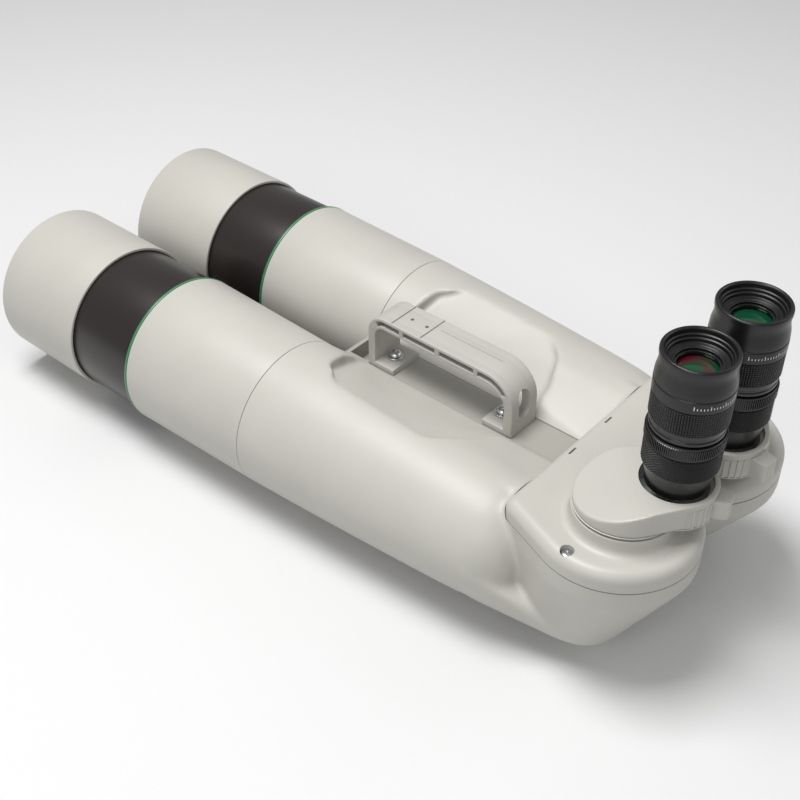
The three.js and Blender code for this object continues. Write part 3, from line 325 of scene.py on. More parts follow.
for side in ("left", "right"):
    for node, edge, rear, front, material in (
        ("crown_lens", 4, 5.5, 5.5, coated),
        ("flint_lens", 9, 0.5, -5.8, clear),
    ):
        low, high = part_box(f"{side}_{node}")
        middle = low[1] + (edge / 2 + rear) / 1000
        made = turned(node, lens_profile(51, edge, rear, front), ((low[0] + high[0]) / 2, middle,
            (low[2] + high[2]) / 2), "Y", 96, closed=False)
        piece(f"{side}_{node}_glass", made, [material], "frame", [f"{side}_{node}"], 40)
    low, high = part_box(f"{side}_lens_retaining_ring")
    profile = [(49.5, 0), (51, 0), (51, 3), (50.2, 3), (49.5, 1.2)]
    made = turned("retainer", rounded(profile, 0.3), ((low[0] + high[0]) / 2, low[1],
        (low[2] + high[2]) / 2), "Y", 128)
    piece(f"{side}_glass_ring", made, [anodised], "frame", [f"{side}_lens_retaining_ring"])
    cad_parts[f"{side}_tube_baffle"].data.materials.clear()
    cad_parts[f"{side}_tube_baffle"].data.materials.append(flat_black)

# ---------------------------------------------------------------- front tubes
# Plain drawn tubes, slightly conical, with the same grey coat. They butt against the housings
# at a hairline joint and are black inside.
for side in ("left", "right"):
    low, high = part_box(f"{side}_front_tube")
    length = (high[1] - low[1]) * 1000
    outer = (high[0] - low[0]) * 500
    profile = [(outer - 5, 0), (outer - 2.4, 0), (outer, length), (outer - 2.6, length)]
    made = turned("tube", rounded(profile, 0.35), ((low[0] + high[0]) / 2, low[1],
        (low[2] + high[2]) / 2), "Y", 160, black=(12, 16))
    piece(f"{side}_tube_shell", made, [grey_smooth, flat_black], "frame", [f"{side}_front_tube"])

# ---------------------------------------------------------------- prism housings
# Each housing is one pressure casting: a barrel that ends in a rounded shoulder and runs into a
# deep prism box with a rounded heel. It is filled, lightly grained and painted.
tube_low, tube_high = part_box("left_front_tube")
seam = tube_low[1] - 0.00015
level = (tube_low[2] + tube_high[2]) / 2


def at(x, y, z):
    # Millimetres from the joint plane and the barrel axes.
    return Vector((x / 1000, seam + y / 1000, level + z / 1000))


def ring(x, y, z, radius, count=64):
    return [(x + radius * math.cos(2 * math.pi * i / count),
        y + radius * math.sin(2 * math.pi * i / count), z) for i in range(count)]


def hull(points, name="hull"):
    bm = bmesh.new()
    for point in points:
        bm.verts.new(at(*point))
    done = bmesh.ops.convex_hull(bm, input=bm.verts)
    junk = {v for v in done["geom_interior"] + done["geom_unused"] if isinstance(v, bmesh.types.BMVert)}
    bmesh.ops.delete(bm, geom=list(junk), context="VERTS")
    bmesh.ops.recalc_face_normals(bm, faces=bm.faces)
    mesh = bpy.data.meshes.new(name)
    bm.to_mesh(mesh)
    bm.free()
    return mesh


def joined(name, meshes):
    bm = bmesh.new()
    for mesh in meshes:
        bm.from_mesh(mesh)
    out = bpy.data.meshes.new(name)
    bm.to_mesh(out)
    bm.free()
    return out


def baked(mesh, *modifiers):
    # The mesh with modifiers applied: (type, {setting: value}).
    temp = bpy.data.objects.new("temp", mesh)
    bpy.context.scene.collection.objects.link(temp)
    for kind, settings in modifiers:
        added = temp.modifiers.new(kind, kind)
        for key, value in settings.items():
            setattr(added, key, value)
    graph = bpy.context.evaluated_depsgraph_get()
    out = bpy.data.meshes.new_from_object(temp.evaluated_get(graph))
    bpy.data.objects.remove(temp)
    return out


def block(low, high):
    bm = bmesh.new()
    bmesh.ops.create_cube(bm, size=1)
    for vert in bm.verts:
        corner = [low[i] if vert.co[i] < 0 else high[i] for i in range(3)]
        vert.co = at(*corner)
    mesh = bpy.data.meshes.new("block")
    bm.to_mesh(mesh)
    bm.free()
    return mesh


def cut(mesh, *cutters):
    for cutter in cutters:
        tool = bpy.data.objects.new("tool", cutter)
        bpy.context.scene.collection.objects.link(tool)
        mesh = baked(mesh, ("BOOLEAN", {"operation": "DIFFERENCE", "solver": "EXACT", "object": tool}))
        bpy.data.objects.remove(tool)
    return mesh


def lid_stack(sign, base, top, round_from=None, grow=0.0):
    # Points on the lid's outline for one side, from the base up, its upper edge rounded over.
    levels = [(base, -grow), (round_from or top, -grow)]
    if round_from:
        for i in range(1, 9):
            a = math.pi / 2 * i / 8
            levels.append((round_from + (top - round_from) * math.sin(a), 7 * (1 - math.cos(a))))
    points = []
    for z, inset in levels:
        points += [(x, y, z) for x, y, _ in ring(sign * 47.3, -246.2, z, 51 - inset, 96)]
        points += [(x, y, z) for x, y, _ in ring(sign * 75.5, -196.8, z, 7.8 - inset, 24)]
        points.append((-sign * 4, -189 - inset, z))
    return points


deck_edge = 14.5
taper = [(8, 53.75), (0, 53.6), (-38, 51.9), (-59, 50.8), (-80, 49.7), (-100, 48.5), (-120, 47.3),
    (-139, 46.1), (-158, 44.8)]
taper += [(-172, 43.6), (-180, 42.4), (-187, 40.3), (-193, 37.2), (-199, 32.6), (-204, 26), (-207,
    18), (-208, 8)]
for side, sign in (("left", -1), ("right", 1)):
    barrel_x = sign * 66
    profile = [(0, 8)] + [(radius, y) for y, radius in taper] + [(0, -208)]
    barrel = turned("barrel", profile, at(barrel_x, 0, 0), "Y", 128, closed=False)
    wall = [(x, y, 22) for x, y, _ in ring(sign * 47.3, -246, 0, 50.7)]
    heel = ring(sign * 60.4, -239.2, -34.2, 24.7) + ring(sign * 62.7, -215.7, -40.7, 20.7)
    belly = []
    for i in range(64):
        a = 2 * math.pi * i / 64
        if 42.9 * math.sin(a) < 5:
            belly.append((barrel_x + 42.9 * math.cos(a), -182, 42.9 * math.sin(a)))
    shoulder = []
    for y, radius in ((-3, 53.5), (-59, 50.8), (-120, 47.3), (-158, 44.8), (-192, 42.4)):
        for i in range(17):
            a = math.pi / 2 * i / 16
            shoulder.append((barrel_x - sign * min(radius * math.cos(a), 66 - deck_edge), y,
                radius * math.sin(a)))
        shoulder += [(sign * (deck_edge - 5), y, 2.5), (sign * (deck_edge - 5), y, 20.7),
            (sign * deck_edge, y, 25.3)]
    scoop = []
    for y, share, radius in ((-20, 0, 52.6), (-21.5, 0.4, 52.6), (-27, 0.75, 52.4), (-44, 1, 51.5),
        (-80, 1, 49.6), (-116, 1, 47.6), (-131, 0.75, 46.7), (-138.5, 0.4, 46.2), (-141, 0, 46)):
        x = barrel_x + sign * 4.3 * share - (1 - share) * (barrel_x - sign * deck_edge)
        z = 25.3 + share * (radius - 25.4)
        scoop += [(x, y, z), (x - sign * 26, y, z + 66)]
        if share == 0:
            scoop += [(sign * (deck_edge - 8), y, 21.8), (sign * (deck_edge - 8), y, z + 66)]
    mass = joined("mass", [barrel, hull(lid_stack(sign, 22, 44) + heel + wall), hull(heel + belly),
        hull(shoulder)])
    mass = baked(mass, ("REMESH", {"mode": "VOXEL", "voxel_size": 0.0015, "adaptivity": 0.0}))
    made = baked(
        cut(mass, hull(scoop, "scoop")),
        ("REMESH", {"mode": "VOXEL", "voxel_size": 0.0014, "adaptivity": 0.0}),
        ("SMOOTH", {"factor": 0.5, "iterations": 16}),
    )
    inner_x = sorted((-sign * 0.2, -sign * 60))
    web_x = sorted((sign * deck_edge, -sign * 60))
    made = cut(
        made,
        block((-200, -0.35, -200), (200, 60, 200)),
        hull(lid_stack(sign, 34, 90, grow=0.45)),
        block((web_x[0], -188.8, 0), (web_x[1], 60, 200)),
        block((inner_x[0], -400, -200), (inner_x[1], 60, 200)),
    )
    piece(f"{side}_housing_casting", made, [grey], "frame", [f"{side}_housing"], 40)

# ---------------------------------------------------------------- prisms and their plates
# Ground glass blocks with polished faces, hidden inside, on a plain alloy plate.
alloy = coat("cast_alloy", (0.3, 0.31, 0.32), 0.5, metal=0.8, grain=900, bump=0.25)
for side in ("left", "right"):
    for node, material in (
        ("roof_prism", clear),
        ("offset_prism", clear),
        ("arm_prism", clear),
        ("prism_plate", alloy),
        ("arm_bearing_ring", alloy),
    ):
        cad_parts[f"{side}_{node}"].data.materials.clear()
        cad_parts[f"{side}_{node}"].data.materials.append(material)

# ---------------------------------------------------------------- prism cover
# One moulded lid closes both prism boxes. Its edge is generously rounded, two round bosses with
# filleted feet carry the eyepiece arms, and recessed screws hold it down.


def sheet_body(name, outlines, z0, z1, edge, resolution=4):
    # Flat outlines (the first outer, the others holes) given thickness and a rounded edge.
    curve = bpy.data.curves.new(name, "CURVE")
    curve.dimensions = "2D"
    curve.fill_mode = "BOTH"
    curve.extrude = (z1 - z0) / 2000 - edge / 1000
    curve.bevel_depth = edge / 1000
    curve.bevel_resolution = resolution
    curve.offset = -edge / 1000
    for outline in outlines:
        spline = curve.splines.new("POLY")
        spline.points.add(len(outline) - 1)
        for point, (x, y) in zip(spline.points, outline):
            point.co = (x / 1000, y / 1000, 0, 1)
        spline.use_cyclic_u = True
    temp = bpy.data.objects.new(name, curve)
    bpy.context.scene.collection.objects.link(temp)
    graph = bpy.context.evaluated_depsgraph_get()
    mesh = bpy.data.meshes.new_from_object(temp.evaluated_get(graph))
    bpy.data.objects.remove(temp)
    bm = bmesh.new()
    bm.from_mesh(mesh)
    bmesh.ops.remove_doubles(bm, verts=bm.verts, dist=1e-6)
    bmesh.ops.translate(bm, verts=bm.verts, vec=(0, 0, (z0 + z1) / 2000))
    bm.to_mesh(mesh)
    bm.free()
    return mesh


def moved(mesh, matrix):
    mesh.transform(matrix)
    return mesh


middle = []
for i in range(9):
    a = math.pi / 2 * i / 8
    inset = 7 * (1 - math.cos(a))
    middle += [(x, y, 41 + 6.8 * math.sin(a)) for x in (-30, 30) for y in (-189 - inset, -261 + 0.8 * inset)]
middle += [(x, y, 28) for x in (-30, 30) for y in (-189, -261)]
lid = joined("lid", [hull(lid_stack(-1, 28, 47.8, 41)), hull(lid_stack(1, 28, 47.8, 41)), hull(middle)])
lid = baked(
    lid,
    ("REMESH", {"mode": "VOXEL", "voxel_size": 0.0009, "adaptivity": 0.0}),
    ("SMOOTH", {"factor": 0.5, "iterations": 6}),
)
boss_profile = [(0, 40), (36.8, 40), (36.8, 47.7), (34.6, 47.95), (33.0, 48.7), (31.8, 50.2), (31.3,
    52.5), (31.0, 57.4), (30.4, 58.0), (0, 58.0)]
arm_low, arm_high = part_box("left_arm_bearing_ring")
pivot_y = ((arm_low[1] + arm_high[1]) / 2 - seam) * 1000
pivot_x = abs(arm_low[0] + arm_high[0]) * 500
screw_low, screw_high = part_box("left_cover_screw")
screw_x = abs(screw_low[0] + screw_high[0]) * 500
screw_y = ((screw_low[1] + screw_high[1]) / 2 - seam) * 1000
cutters = [block((-200, -400, 0), (200, 0, 34.8))]
for sign in (-1, 1):
    cutters.append(turned("bore", [(0, 43.6), (4.2, 43.6), (4.2, 60), (0, 60)], at(sign * screw_x,
        screw_y, 0), "Z", 40, closed=False))
    slit = [(-3.4, -0.75), (3.4, -0.75), (4.0, 0), (3.4, 0.75), (-3.4, 0.75), (-4.0, 0)]
    low_ring = [(sign * 19.6 + x, -195.1 + y, 45) for x, y in slit]
    cutters.append(hull(low_ring + [(x, y, 60) for x, y, _ in low_ring], "slit"))
lid = cut(lid, *cutters)
bosses = [turned("boss", boss_profile, at(sign * pivot_x, pivot_y, 0), "Z", 128,
    closed=False) for sign in (-1, 1)]
piece("cover_lid", joined("lid", [lid] + bosses), [grey_smooth], "frame", ["prism_cover"], 32)

# ---------------------------------------------------------------- cover screws
# Small zinc-plated machine screws with a crosshead, sunk in their counterbores.
zinc = coat("zinc_plate", (0.62, 0.63, 0.64), 0.28, metal=1.0, grain=700, bump=0.06)


def screw_mesh(head, dome, shank, length, cross):
    points = [(0, -length), (shank, -length), (shank, 0), (head, 0), (head, dome * 0.45),
        (head * 0.8, dome * 0.82), (head * 0.45, dome), (0, dome)]
    mesh = turned("screw", rounded(points, 0.3, closed=False), (0, 0, 0), "Z", 40, closed=False)
    for turn in (0, 90):
        slot = bpy.data.meshes.new("slot")
        bm = bmesh.new()
        bmesh.ops.create_cube(bm, size=1)
        bmesh.ops.scale(bm, verts=bm.verts, vec=(cross / 1000, cross * 0.24 / 1000, dome * 1.5 / 1000))
        bmesh.ops.rotate(bm, verts=bm.verts, cent=(0, 0, 0),
            matrix=Matrix.Rotation(math.radians(turn), 3, "Z"))
        bmesh.ops.translate(bm, verts=bm.verts, vec=(0, 0, dome * 1.15 / 1000))
        bm.to_mesh(slot)
        bm.free()
        mesh = cut(mesh, slot)
    return mesh


for side in ("left", "right"):
    low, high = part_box(f"{side}_cover_screw")
    made = screw_mesh((high[0] - low[0]) * 500, 1.9, 1.7, 7.4, 4.2)
    place = Vector(((low[0] + high[0]) / 2, (low[1] + high[1]) / 2, high[2] - 0.002))
    moved(made, Matrix.Translation(place) @ Matrix.Rotation(math.radians(30), 4, "Z"))
    piece(f"{side}_lid_screw", made, [zinc], "frame", [f"{side}_cover_screw"])

# ---------------------------------------------------------------- bridge between the barrels
# A flat web joins the housings, with an open pocket at its front behind a thin lip. Near the lid its face
# has a coarser moulded grain. Its coat is darker than the housings' grey: painted shade for the shadow that
# falls between the barrels.
# Painted shade: the deck colour is set darker than the housings' grey to stand in for the shade between the
# barrels; the strong bump is the real coarse grain.
deck_grain_and_painted_shade = coat("grey_grained_painted_shade", (0.31, 0.30, 0.27), 0.55, grain=650, bump=0.45)
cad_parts["bridge_deck"].data.materials.clear()
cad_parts["bridge_deck"].data.materials.append(deck_grain_and_painted_shade)

# ---------------------------------------------------------------- carry handle
# A glass-filled nylon moulding with rounded corners, cored out by narrow slots along both sides
# and an arched window in its rear leg. Its feet are screwed to the bridge.


def arc(cy, cz, radius, start, end, count=10):
    out = []
    for i in range(count + 1):
        a = math.radians(start + (end - start) * i / count)
        out.append((cy + radius * math.cos(a), cz + radius * math.sin(a)))
    return out


low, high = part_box("carry_handle")
front_y = (high[1] - seam) * 1000
rear_y = (low[1] - seam) * 1000
base_z = (low[2] - level) * 1000
top_z = (high[2] - level) * 1000
wide = (high[0] - low[0]) * 1000
under_z = top_z - 8.5
outline = [(rear_y, base_z), (rear_y + 23.5, base_z), (rear_y + 23.5, base_z + 4), (rear_y + 7, base_z + 4)]
outline += [(rear_y + 7, under_z - 14)] + arc(rear_y + 21, under_z - 14, 14, 180, 90)
outline += arc(front_y - 14, under_z - 8, 8, 90, 0) + [(front_y - 6, base_z + 4)]
outline += [(front_y - 22.5, base_z + 4), (front_y - 22.5, base_z), (front_y, base_z)]
outline += arc(front_y - 14, top_z - 14, 14, 0, 90) + arc(rear_y + 23, top_z - 23, 23, 90, 180)


def slot_path(y0, y1, mid, width=3.6):
    return [(y0, mid - width / 2), (y1, mid - width / 2), (y1, mid + width / 2), (y0, mid + width / 2)]


mid_z = top_z - 4.4
slots = [slot_path(-53, -80, mid_z), slot_path(-84, -112, mid_z)]
slots.append([(-49.5, mid_z - 1.8), (-49.5, mid_z + 1.8)] + arc(front_y - 14, top_z - 14, 11.4, 90,
    52, 6) + arc(front_y - 14, top_z - 14, 8.2, 46, 90, 6))
slots.append([(-115.5, mid_z + 1.8), (-115.5, mid_z - 1.8)] + arc(rear_y + 23, top_z - 23, 16.8, 90,
    141, 8) + arc(rear_y + 23, top_z - 23, 20.4, 145, 90, 8))
stand = Matrix(((0, 0, 1, 0), (1, 0, 0, 0), (0, 1, 0, 0), (0, 0, 0, 1)))
core = sheet_body("core", [outline], -wide / 2 + 5.6, wide / 2 - 5.6, 0.3, 2)
plates = [sheet_body("plate", [outline] + slots, z, z + 6.2, 0.7, 3) for z in (-wide / 2, wide / 2 - 6.2)]
handle = moved(joined("handle", [core] + plates), Matrix.Translation(at(0, 0, 0)) @ stand)
window = [(x, rear_y - 5, z + 45) for x, z in arc(0, 4.4, 6.2, 0, 180) + arc(0, -4.4, 6.2, 180, 360)]
window_tool = hull(window + [(x, rear_y + 12, z) for x, _, z in window], "window")
holes = [turned("hole", [(0, -3), (1.3, -3), (1.3, 3), (0, 3)], at(0, y, top_z), "Z", 24,
    closed=False) for y in (-50.3, -62.9)]
grooves = [block((-12.7, y - 0.2, top_z - 0.4), (12.7, y + 0.2, top_z + 1)) for y in (-42.7, -67.5)]
grooves.append(block((2.8, -133, top_z - 0.35), (3.2, -72.5, top_z + 1)))
handle = cut(handle, window_tool, *holes, *grooves)
nylon = coat("grey_nylon", (0.405, 0.39, 0.36), 0.5, grain=900, bump=0.25)
piece("handle_bow", handle, [nylon], "frame", ["carry_handle"], 32)

# ---------------------------------------------------------------- handle screws and washers
# Zinc-plated pan-head screws on flat washers.
for place in ("front", "rear"):
    low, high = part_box(f"{place}_handle_washer")
    centre = Vector(((low[0] + high[0]) / 2, (low[1] + high[1]) / 2, low[2]))
    profile = rounded([(2.3, 0), (5.6, 0), (5.6, 1), (2.3, 1)], 0.25)
    made = turned("washer", profile, centre, "Z", 64)
    piece(f"{place}_washer", made, [zinc], "frame", [f"{place}_handle_washer"])
    low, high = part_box(f"{place}_handle_screw")
    made = screw_mesh((high[0] - low[0]) * 500, 3, 2, 9, 5)
    moved(made, Matrix.Translation((centre.x, centre.y,
        high[2] - 0.003)) @ Matrix.Rotation(math.radians(20), 4, "Z"))
    piece(f"{place}_screw", made, [zinc], "frame", [f"{place}_handle_screw"])

# ---------------------------------------------------------------- mounting foot
# A machined T-section bar bolted up into the bridge, bead blasted, with two clearance holes.
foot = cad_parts["mounting_foot"]
foot.data.materials.clear()
foot.data.materials.append(alloy)

# ---------------------------------------------------------------- eyepiece arms
# Moulded arms that swing on the bosses to set the eye spacing. The top slopes up to a collar
# with a window through which the focusing ring shows.
for side, sign in (("left", -1), ("right", 1)):
    low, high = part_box(f"{side}_eyepiece_body")
    eye = Vector(((low[0] + high[0]) / 2, (low[1] + high[1]) / 2, 0))
    low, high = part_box(f"{side}_arm_bearing_ring")
    pivot = Vector(((low[0] + high[0]) / 2, (low[1] + high[1]) / 2, 0))
    low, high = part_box(f"{side}_eyepiece_arm")
    top_z = (high[2] - level) * 1000
    reach = (eye - pivot).length * 1000
    heading = math.atan2(eye.y - pivot.y, eye.x - pivot.x)
    turn = Matrix.Translation((pivot.x, pivot.y, 0)) @ Matrix.Rotation(heading, 4, "Z")
    local = Matrix.Translation((0, -seam, 0))

    def egg(z, grow=0.0):
        return ring(0, 0, z, 30.4 + grow, 96) + ring(reach, 0, z, 24.5 + grow, 96)

    body = hull(egg(60.2) + egg(top_z), "arm")
    for near in (9, 4, -1, -6, -11):
        fall = 0.36 * (14 - max(near, -8)) / 22
        high_z = top_z - 0.36 * (14 - max(near, -8)) ** 2 / 44 + fall * (near - max(near, -8))
        wedge = []
        for y in (-60, 60):
            for u in (near - 60, near + 60):
                wedge += [(u, y, high_z + fall * (u - near)), (u, y, 130)]
        body = cut(body, hull(wedge, "wedge"))
    body = baked(
        body,
        ("REMESH", {"mode": "VOXEL", "voxel_size": 0.0007, "adaptivity": 0.0}),
        ("SMOOTH", {"factor": 0.5, "iterations": 8}),
    )
    ring_cut = turned("slot", [(17, 59.2), (60, 59.2), (60, 72.8), (17, 72.8)], at(reach, 0, 0), "Z", 96)
    keep = hull([(reach - 80, -60, 50), (reach - 80, 60, 50), (reach + 0.5, -60, 50), (reach + 0.5,
        60, 50), (reach - 80, -60, 80), (reach - 80, 60, 80), (reach + 0.5, -60, 80), (reach + 0.5,
        60, 80)], "keep")
    ring_cut = cut(ring_cut, keep)
    bore = turned("bore", [(0, 59.2), (21.5, 59.2), (21.5, 90), (0, 90)], at(reach, 0, 0), "Z", 96,
        closed=False)
    body = cut(body, ring_cut, bore)
    floor_plate = turned("plate", rounded([(0, 58.5), (24.5, 58.5), (24.5, 59.3), (0, 59.3)], 0.2,
        closed=False), at(reach, 0, 0), "Z", 96, closed=False)
    lip = turned("lip", rounded([(0, 59.4), (30.4, 59.4), (30.9, 59.9), (30.4, 60.3), (0, 60.3)],
        0.2, closed=False), at(0, 0, 0), "Z", 96, closed=False)
    made = moved(joined("arm", [body, floor_plate, lip]), turn @ local)
    piece(f"{side}_arm_shell", made, [grey_smooth], f"{side}_arm", [f"{side}_eyepiece_arm"], 32)

# ---------------------------------------------------------------- focusing rings
# A ribbed ring with a finger lobe turns in each collar's window and lifts the eyepiece holder.
lobe_turn = {"left": -26, "right": 35}
for side, sign in (("left", -1), ("right", 1)):
    low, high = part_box(f"{side}_eyepiece_body")
    eye = Vector(((low[0] + high[0]) / 2, (low[1] + high[1]) / 2, 0))
    low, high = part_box(f"{side}_arm_bearing_ring")
    pivot = Vector(((low[0] + high[0]) / 2, (low[1] + high[1]) / 2, 0))
    heading = math.atan2(eye.y - pivot.y, eye.x - pivot.x)
    low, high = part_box(f"{side}_focus_ring")
    tip = 32.2 if side == "left" else 33.3
    outline = []
    for i in range(841):
        a = -105 + 210 * i / 840
        off = a - lobe_turn[side]
        radius = 24.3
        if abs(off) < 17:
            t = min(1, (17 - abs(off)) / 8.5)
            radius += (tip - 24.3) * t * t * (3 - 2 * t)
            for rib in (-3.2, 3.2):
                radius += 0.45 * max(0, 1 - ((off - rib) / 1.3) ** 2)
        elif abs(a) < 84:
            phase = (abs(off) - 25) % 9
            phase = min(phase, 9 - phase)
            if 21 < abs(off) < 75:
                radius += 0.75 * max(0, 1 - (phase / 1.9) ** 2) ** 0.5
        outline.append((radius * math.cos(math.radians(a)), radius * math.sin(math.radians(a))))
    for i in range(106):
        a = math.radians(105 - 2 * i)
        outline.append((19.2 * math.cos(a), 19.2 * math.sin(a)))
    made = sheet_body("ring", [outline], 0, (high[2] - low[2]) * 1000, 0.35, 2)
    moved(made, Matrix.Translation((eye.x, eye.y, low[2])) @ Matrix.Rotation(heading, 4, "Z"))
    piece(f"{side}_ribbed_ring", made, [grey_smooth], f"{side}_focuser", [f"{side}_focus_ring"],
        32)

# ---------------------------------------------------------------- eyepiece holders
# Black anodised sockets: a smooth taper that dips into the collar, and above it a rubber band
# knurled in small diamonds.
black_metal = coat("black_metal", (0.006, 0.006, 0.0065), 0.24, grain=2400, bump=0.02, spec=0.5)
rubber = coat("black_rubber", (0.007, 0.007, 0.0075), 0.3, grain=1500, bump=0.12, spec=0.5)


def knurl(centre, radius, z0, z1, height, columns, rows, diamond):
    # A closed ring whose outer face stands up in small studs; z in millimetres above centre.
    bm = bmesh.new()
    across = columns * 6
    up = rows * 6
    grid = []
    for k in range(up + 1):
        z = z0 + (z1 - z0) * k / up
        line = []
        for i in range(across):
            a = 2 * math.pi * i / across
            u = columns * a / 2
            v = math.pi * rows * k / up
            if diamond:
                lift = abs(math.sin(u + v) * math.sin(u - v))
            else:
                lift = abs(math.sin(u) * math.sin(v))
            lift = min(1, 1.7 * lift)
            if k in (0, up):
                lift = 0
            r = (radius + height * lift) / 1000
            line.append(bm.verts.new((r * math.cos(a), r * math.sin(a), z / 1000)))
        grid.append(line)
    inner = radius - 1.2
    for z in (z1, z0):
        grid.append([bm.verts.new((inner / 1000 * math.cos(2 * math.pi * i / across),
            inner / 1000 * math.sin(2 * math.pi * i / across), z / 1000)) for i in range(across)])
    for k in range(len(grid)):
        a_line = grid[k]
        b_line = grid[(k + 1) % len(grid)]
        for i in range(across):
            j = (i + 1) % across
            bm.faces.new((a_line[i], a_line[j], b_line[j], b_line[i]))
    bmesh.ops.translate(bm, verts=bm.verts, vec=centre)
    mesh = bpy.data.meshes.new("knurl")
    bm.to_mesh(mesh)
    bm.free()
    return mesh


for side in ("left", "right"):
    body_low, body_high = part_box(f"{side}_eyepiece_body")
    eye = Vector(((body_low[0] + body_high[0]) / 2, (body_low[1] + body_high[1]) / 2, 0))
    clamp_low, clamp_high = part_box(f"{side}_clamp_ring")
    arm_low, arm_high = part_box(f"{side}_eyepiece_arm")
    top = (clamp_high[2] - arm_high[2]) * 1000
    centre = Vector((eye.x, eye.y, arm_high[2]))
    band = (clamp_low[2] - arm_high[2]) * 1000 - 0.3
    shoulder = band - 16
    profile = [(16.8, -0.6), (18.6, -0.6), (18.6, 3.4), (20.7, shoulder - 0.9), (21.3,
        shoulder + 0.6), (21.3, band), (18.8, band), (18.8, top), (16.175, top), (16.175, 21.7),
        (14.375, 21.7), (14.375, 18.7)]
    made = turned("holder", rounded(profile, 0.4), centre, "Z", 128)
    piece(f"{side}_socket", made, [black_metal], f"{side}_holder", [f"{side}_eyepiece_holder"])
    made = knurl(centre, 21.55, shoulder + 0.6, band - 0.5, 0.65, 84, 12, True)
    piece(f"{side}_socket_knurl", made, [rubber], f"{side}_holder", [])

# ---------------------------------------------------------------- clamp rings
# A finely ribbed metal ring tightens the socket on the eyepiece. On the real ring the edges are worn bright;
# here the whole ring has the one black metal finish.
for side in ("left", "right"):
    low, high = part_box(f"{side}_clamp_ring")
    body_low, body_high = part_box(f"{side}_eyepiece_body")
    centre = Vector(((body_low[0] + body_high[0]) / 2, (body_low[1] + body_high[1]) / 2, low[2]))
    outer = 22.1
    height = (high[2] - low[2]) * 1000
    profile = [(19.1, 0), (outer, 0), (outer, height), (19.1, height)]
    core = turned("clamp", rounded(profile, 0.5), centre, "Z", 128)
    bm = bmesh.new()
    bm.from_mesh(core)
    for i in range(110):
        a = 2 * math.pi * i / 110
        done = bmesh.ops.create_cube(bm, size=1)
        for vert in done["verts"]:
            lean = 0.6 if vert.co.x > 0 else 1.0
            x = (outer - 0.3 + (0.9 if vert.co.x > 0 else 0)) / 1000
            y = vert.co.y * 0.75 * lean / 1000
            z = (height / 2 + vert.co.z * (height - (2.6 if vert.co.x > 0 else 1.6))) / 1000
            vert.co = Matrix.Rotation(a, 3, "Z") @ Vector((x, y, z)) + centre
    bm.to_mesh(core)
    bm.free()
    piece(f"{side}_ribbed_clamp", core, [black_metal], f"{side}_holder", [f"{side}_clamp_ring"],
        30)

# ---------------------------------------------------------------- eyepieces
# Each eyepiece has a plated barrel in the socket, a grooved waist, a studded rubber grip and a
# gloss ring with plain index marks under the eyecup.
gloss_black = coat("gloss_black", (0.008, 0.008, 0.0085), 0.16, grain=2400, bump=0.01, spec=0.6)
white_print = coat("white_print", (0.75, 0.75, 0.75), 0.5, bump=0.02)
for side in ("left", "right"):
    low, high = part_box(f"{side}_eyepiece_body")
    clamp_low, clamp_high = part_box(f"{side}_clamp_ring")
    centre = Vector(((low[0] + high[0]) / 2, (low[1] + high[1]) / 2, clamp_high[2] + 0.0003))
    neck = (high[2] - centre.z) * 1000
    profile = [(14.4, -18), (15.85, -18), (15.85, 0), (20.4, 0), (21.3, 0.9), (21.3, 2.6), (20.7,
        3.1), (20.7, 4.2), (21.3, 4.7), (21.3, 7)]
    profile += [(21.5, 7.4), (21.5, 23.5), (18, 23.5), (18, neck), (11.4, neck), (11.4, neck - 1.5),
        (12.3, neck - 1.5), (12.3, -2), (12.8, -2), (12.8, -11), (14.4, -11)]
    made = turned("eyepiece", rounded(profile, 0.25), centre, "Z", 128)
    piece(f"{side}_eyepiece_shell", made, [gloss_black], f"{side}_holder",
        [f"{side}_eyepiece_body"])
    made = knurl(centre, 21.75, 7.6, 23.3, 0.55, 92, 12, False)
    piece(f"{side}_eyepiece_grip", made, [rubber], f"{side}_holder", [])

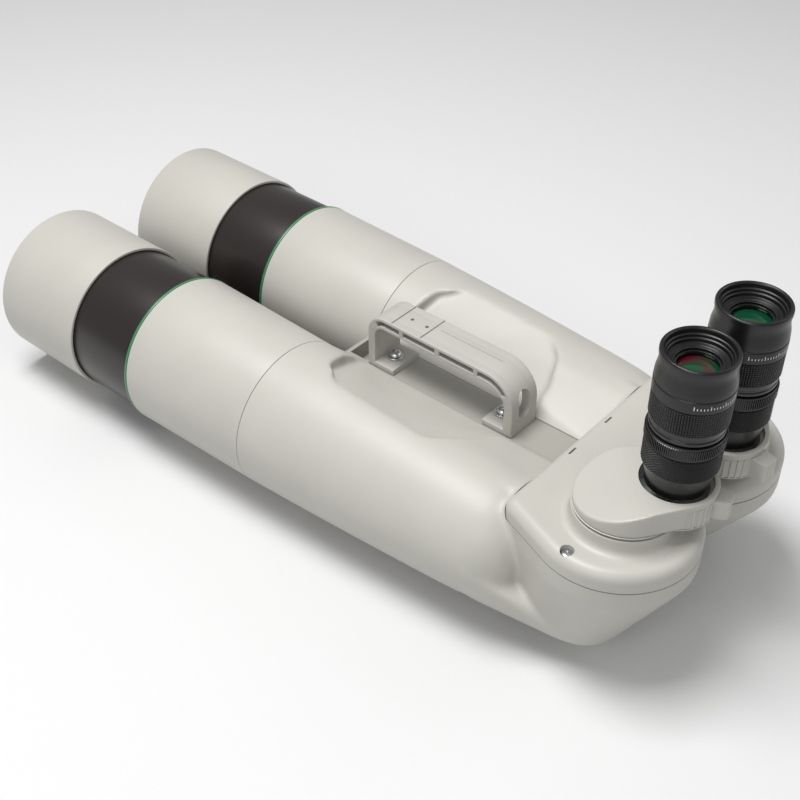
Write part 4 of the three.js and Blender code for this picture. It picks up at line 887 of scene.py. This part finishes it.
# ---------------------------------------------------------------- eyecups
# Twist-up cups of satin black rubber: a gloss collar below, a waist, a rolled rim, and stepped
# rings inside that lead down to the glass.
cup_rubber = coat("cup_rubber", (0.006, 0.006, 0.0062), 0.32, grain=1800, bump=0.06, spec=0.5)
for side in ("left", "right"):
    low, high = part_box(f"{side}_eyecup")
    centre = Vector(((low[0] + high[0]) / 2, (low[1] + high[1]) / 2, low[2]))
    tall = (high[2] - low[2]) * 1000
    floor_z = 17.2
    outside = [(18.3, 0), (22.2, 0), (22.45, 0.5), (22.45, 7.2), (22.0, 7.7), (22.0, 8.3), (22.35,
        8.9), (22.1, 12), (21.2, 16.5), (20.95, 18.5), (21.05, 21), (21.5, 23.4), (21.5,
        tall - 0.9), (20.9, tall), (19.7, tall)]
    inside = [(19.0, tall - 0.8), (18.7, tall - 3.4), (17.9, tall - 3.6), (17.7, tall - 5.4), (16.9,
        tall - 5.6), (16.6, floor_z + 1.6), (14.4, floor_z + 1.4), (14.2, floor_z + 0.9), (12.6,
        floor_z + 0.8), (12.6, floor_z), (18.3, floor_z)]
    made = turned("cup", rounded(outside + inside, 0.35), centre, "Z", 128)
    piece(f"{side}_cup", made, [cup_rubber], f"{side}_cup", [f"{side}_eyecup"])
    marks = bmesh.new()
    for i in range(26):
        a = math.radians(-150 + i * 4.6)
        tall_mark = 2.4 if i % 5 == 0 else 1.3
        corners = []
        for da, z in ((-0.55, 3.0), (0.55, 3.0), (0.55, 3.0 + tall_mark), (-0.55, 3.0 + tall_mark)):
            b = a + math.radians(da)
            place = Vector((22.5 * math.cos(b), 22.5 * math.sin(b), z))
            corners.append(marks.verts.new(centre + place / 1000))
        marks.faces.new(corners)
    mesh = bpy.data.meshes.new("marks")
    marks.to_mesh(mesh)
    marks.free()
    piece(f"{side}_cup_marks", mesh, [white_print], f"{side}_cup", [], None)

# ---------------------------------------------------------------- eyepiece glass
# Small multicoated lenses. The eye lens's colour carries painted reflections: dark green with red patches
# for the coating's coloured reflections.
eye_lens_painted_reflections = glass("eye_lens_painted_reflections", (0.004, 0.05, 0.022), 1.0, (0.5, 1.0, 0.7, 1))
# Painted reflection: noise patches switch the eye lens colour between dark green and red, standing in for
# coating reflections.
ramp = eye_lens_painted_reflections.node_tree.nodes["Color Ramp"].color_ramp
ramp.elements[0].color = (0.07, 0.004, 0.012, 1)
ramp.elements[0].position = 0.36
ramp.elements[1].position = 0.48
eye_lens_painted_reflections.node_tree.nodes["Noise Texture"].inputs["Scale"].default_value = 55
eye_lens_painted_reflections.node_tree.nodes["Noise Texture"].inputs["Detail"].default_value = 0
for side in ("left", "right"):
    for node, radius, edge, rear, front, material in (
        ("eye_lens", 12, 3, 1.6, 1.2, eye_lens_painted_reflections),
        ("field_lens", 12.5, 3, 1.5, 1.5, clear),
    ):
        low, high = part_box(f"{side}_{node}")
        body_low, body_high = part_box(f"{side}_eyepiece_body")
        middle = low[2] + (edge / 2 + rear) / 1000
        place = ((body_low[0] + body_high[0]) / 2, (body_low[1] + body_high[1]) / 2, middle)
        made = turned(node, lens_profile(radius, edge, rear, front), place, "Z", 64, closed=False)
        piece(f"{side}_{node}_glass", made, [material], f"{side}_holder", [f"{side}_{node}"], 40)

low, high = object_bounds()
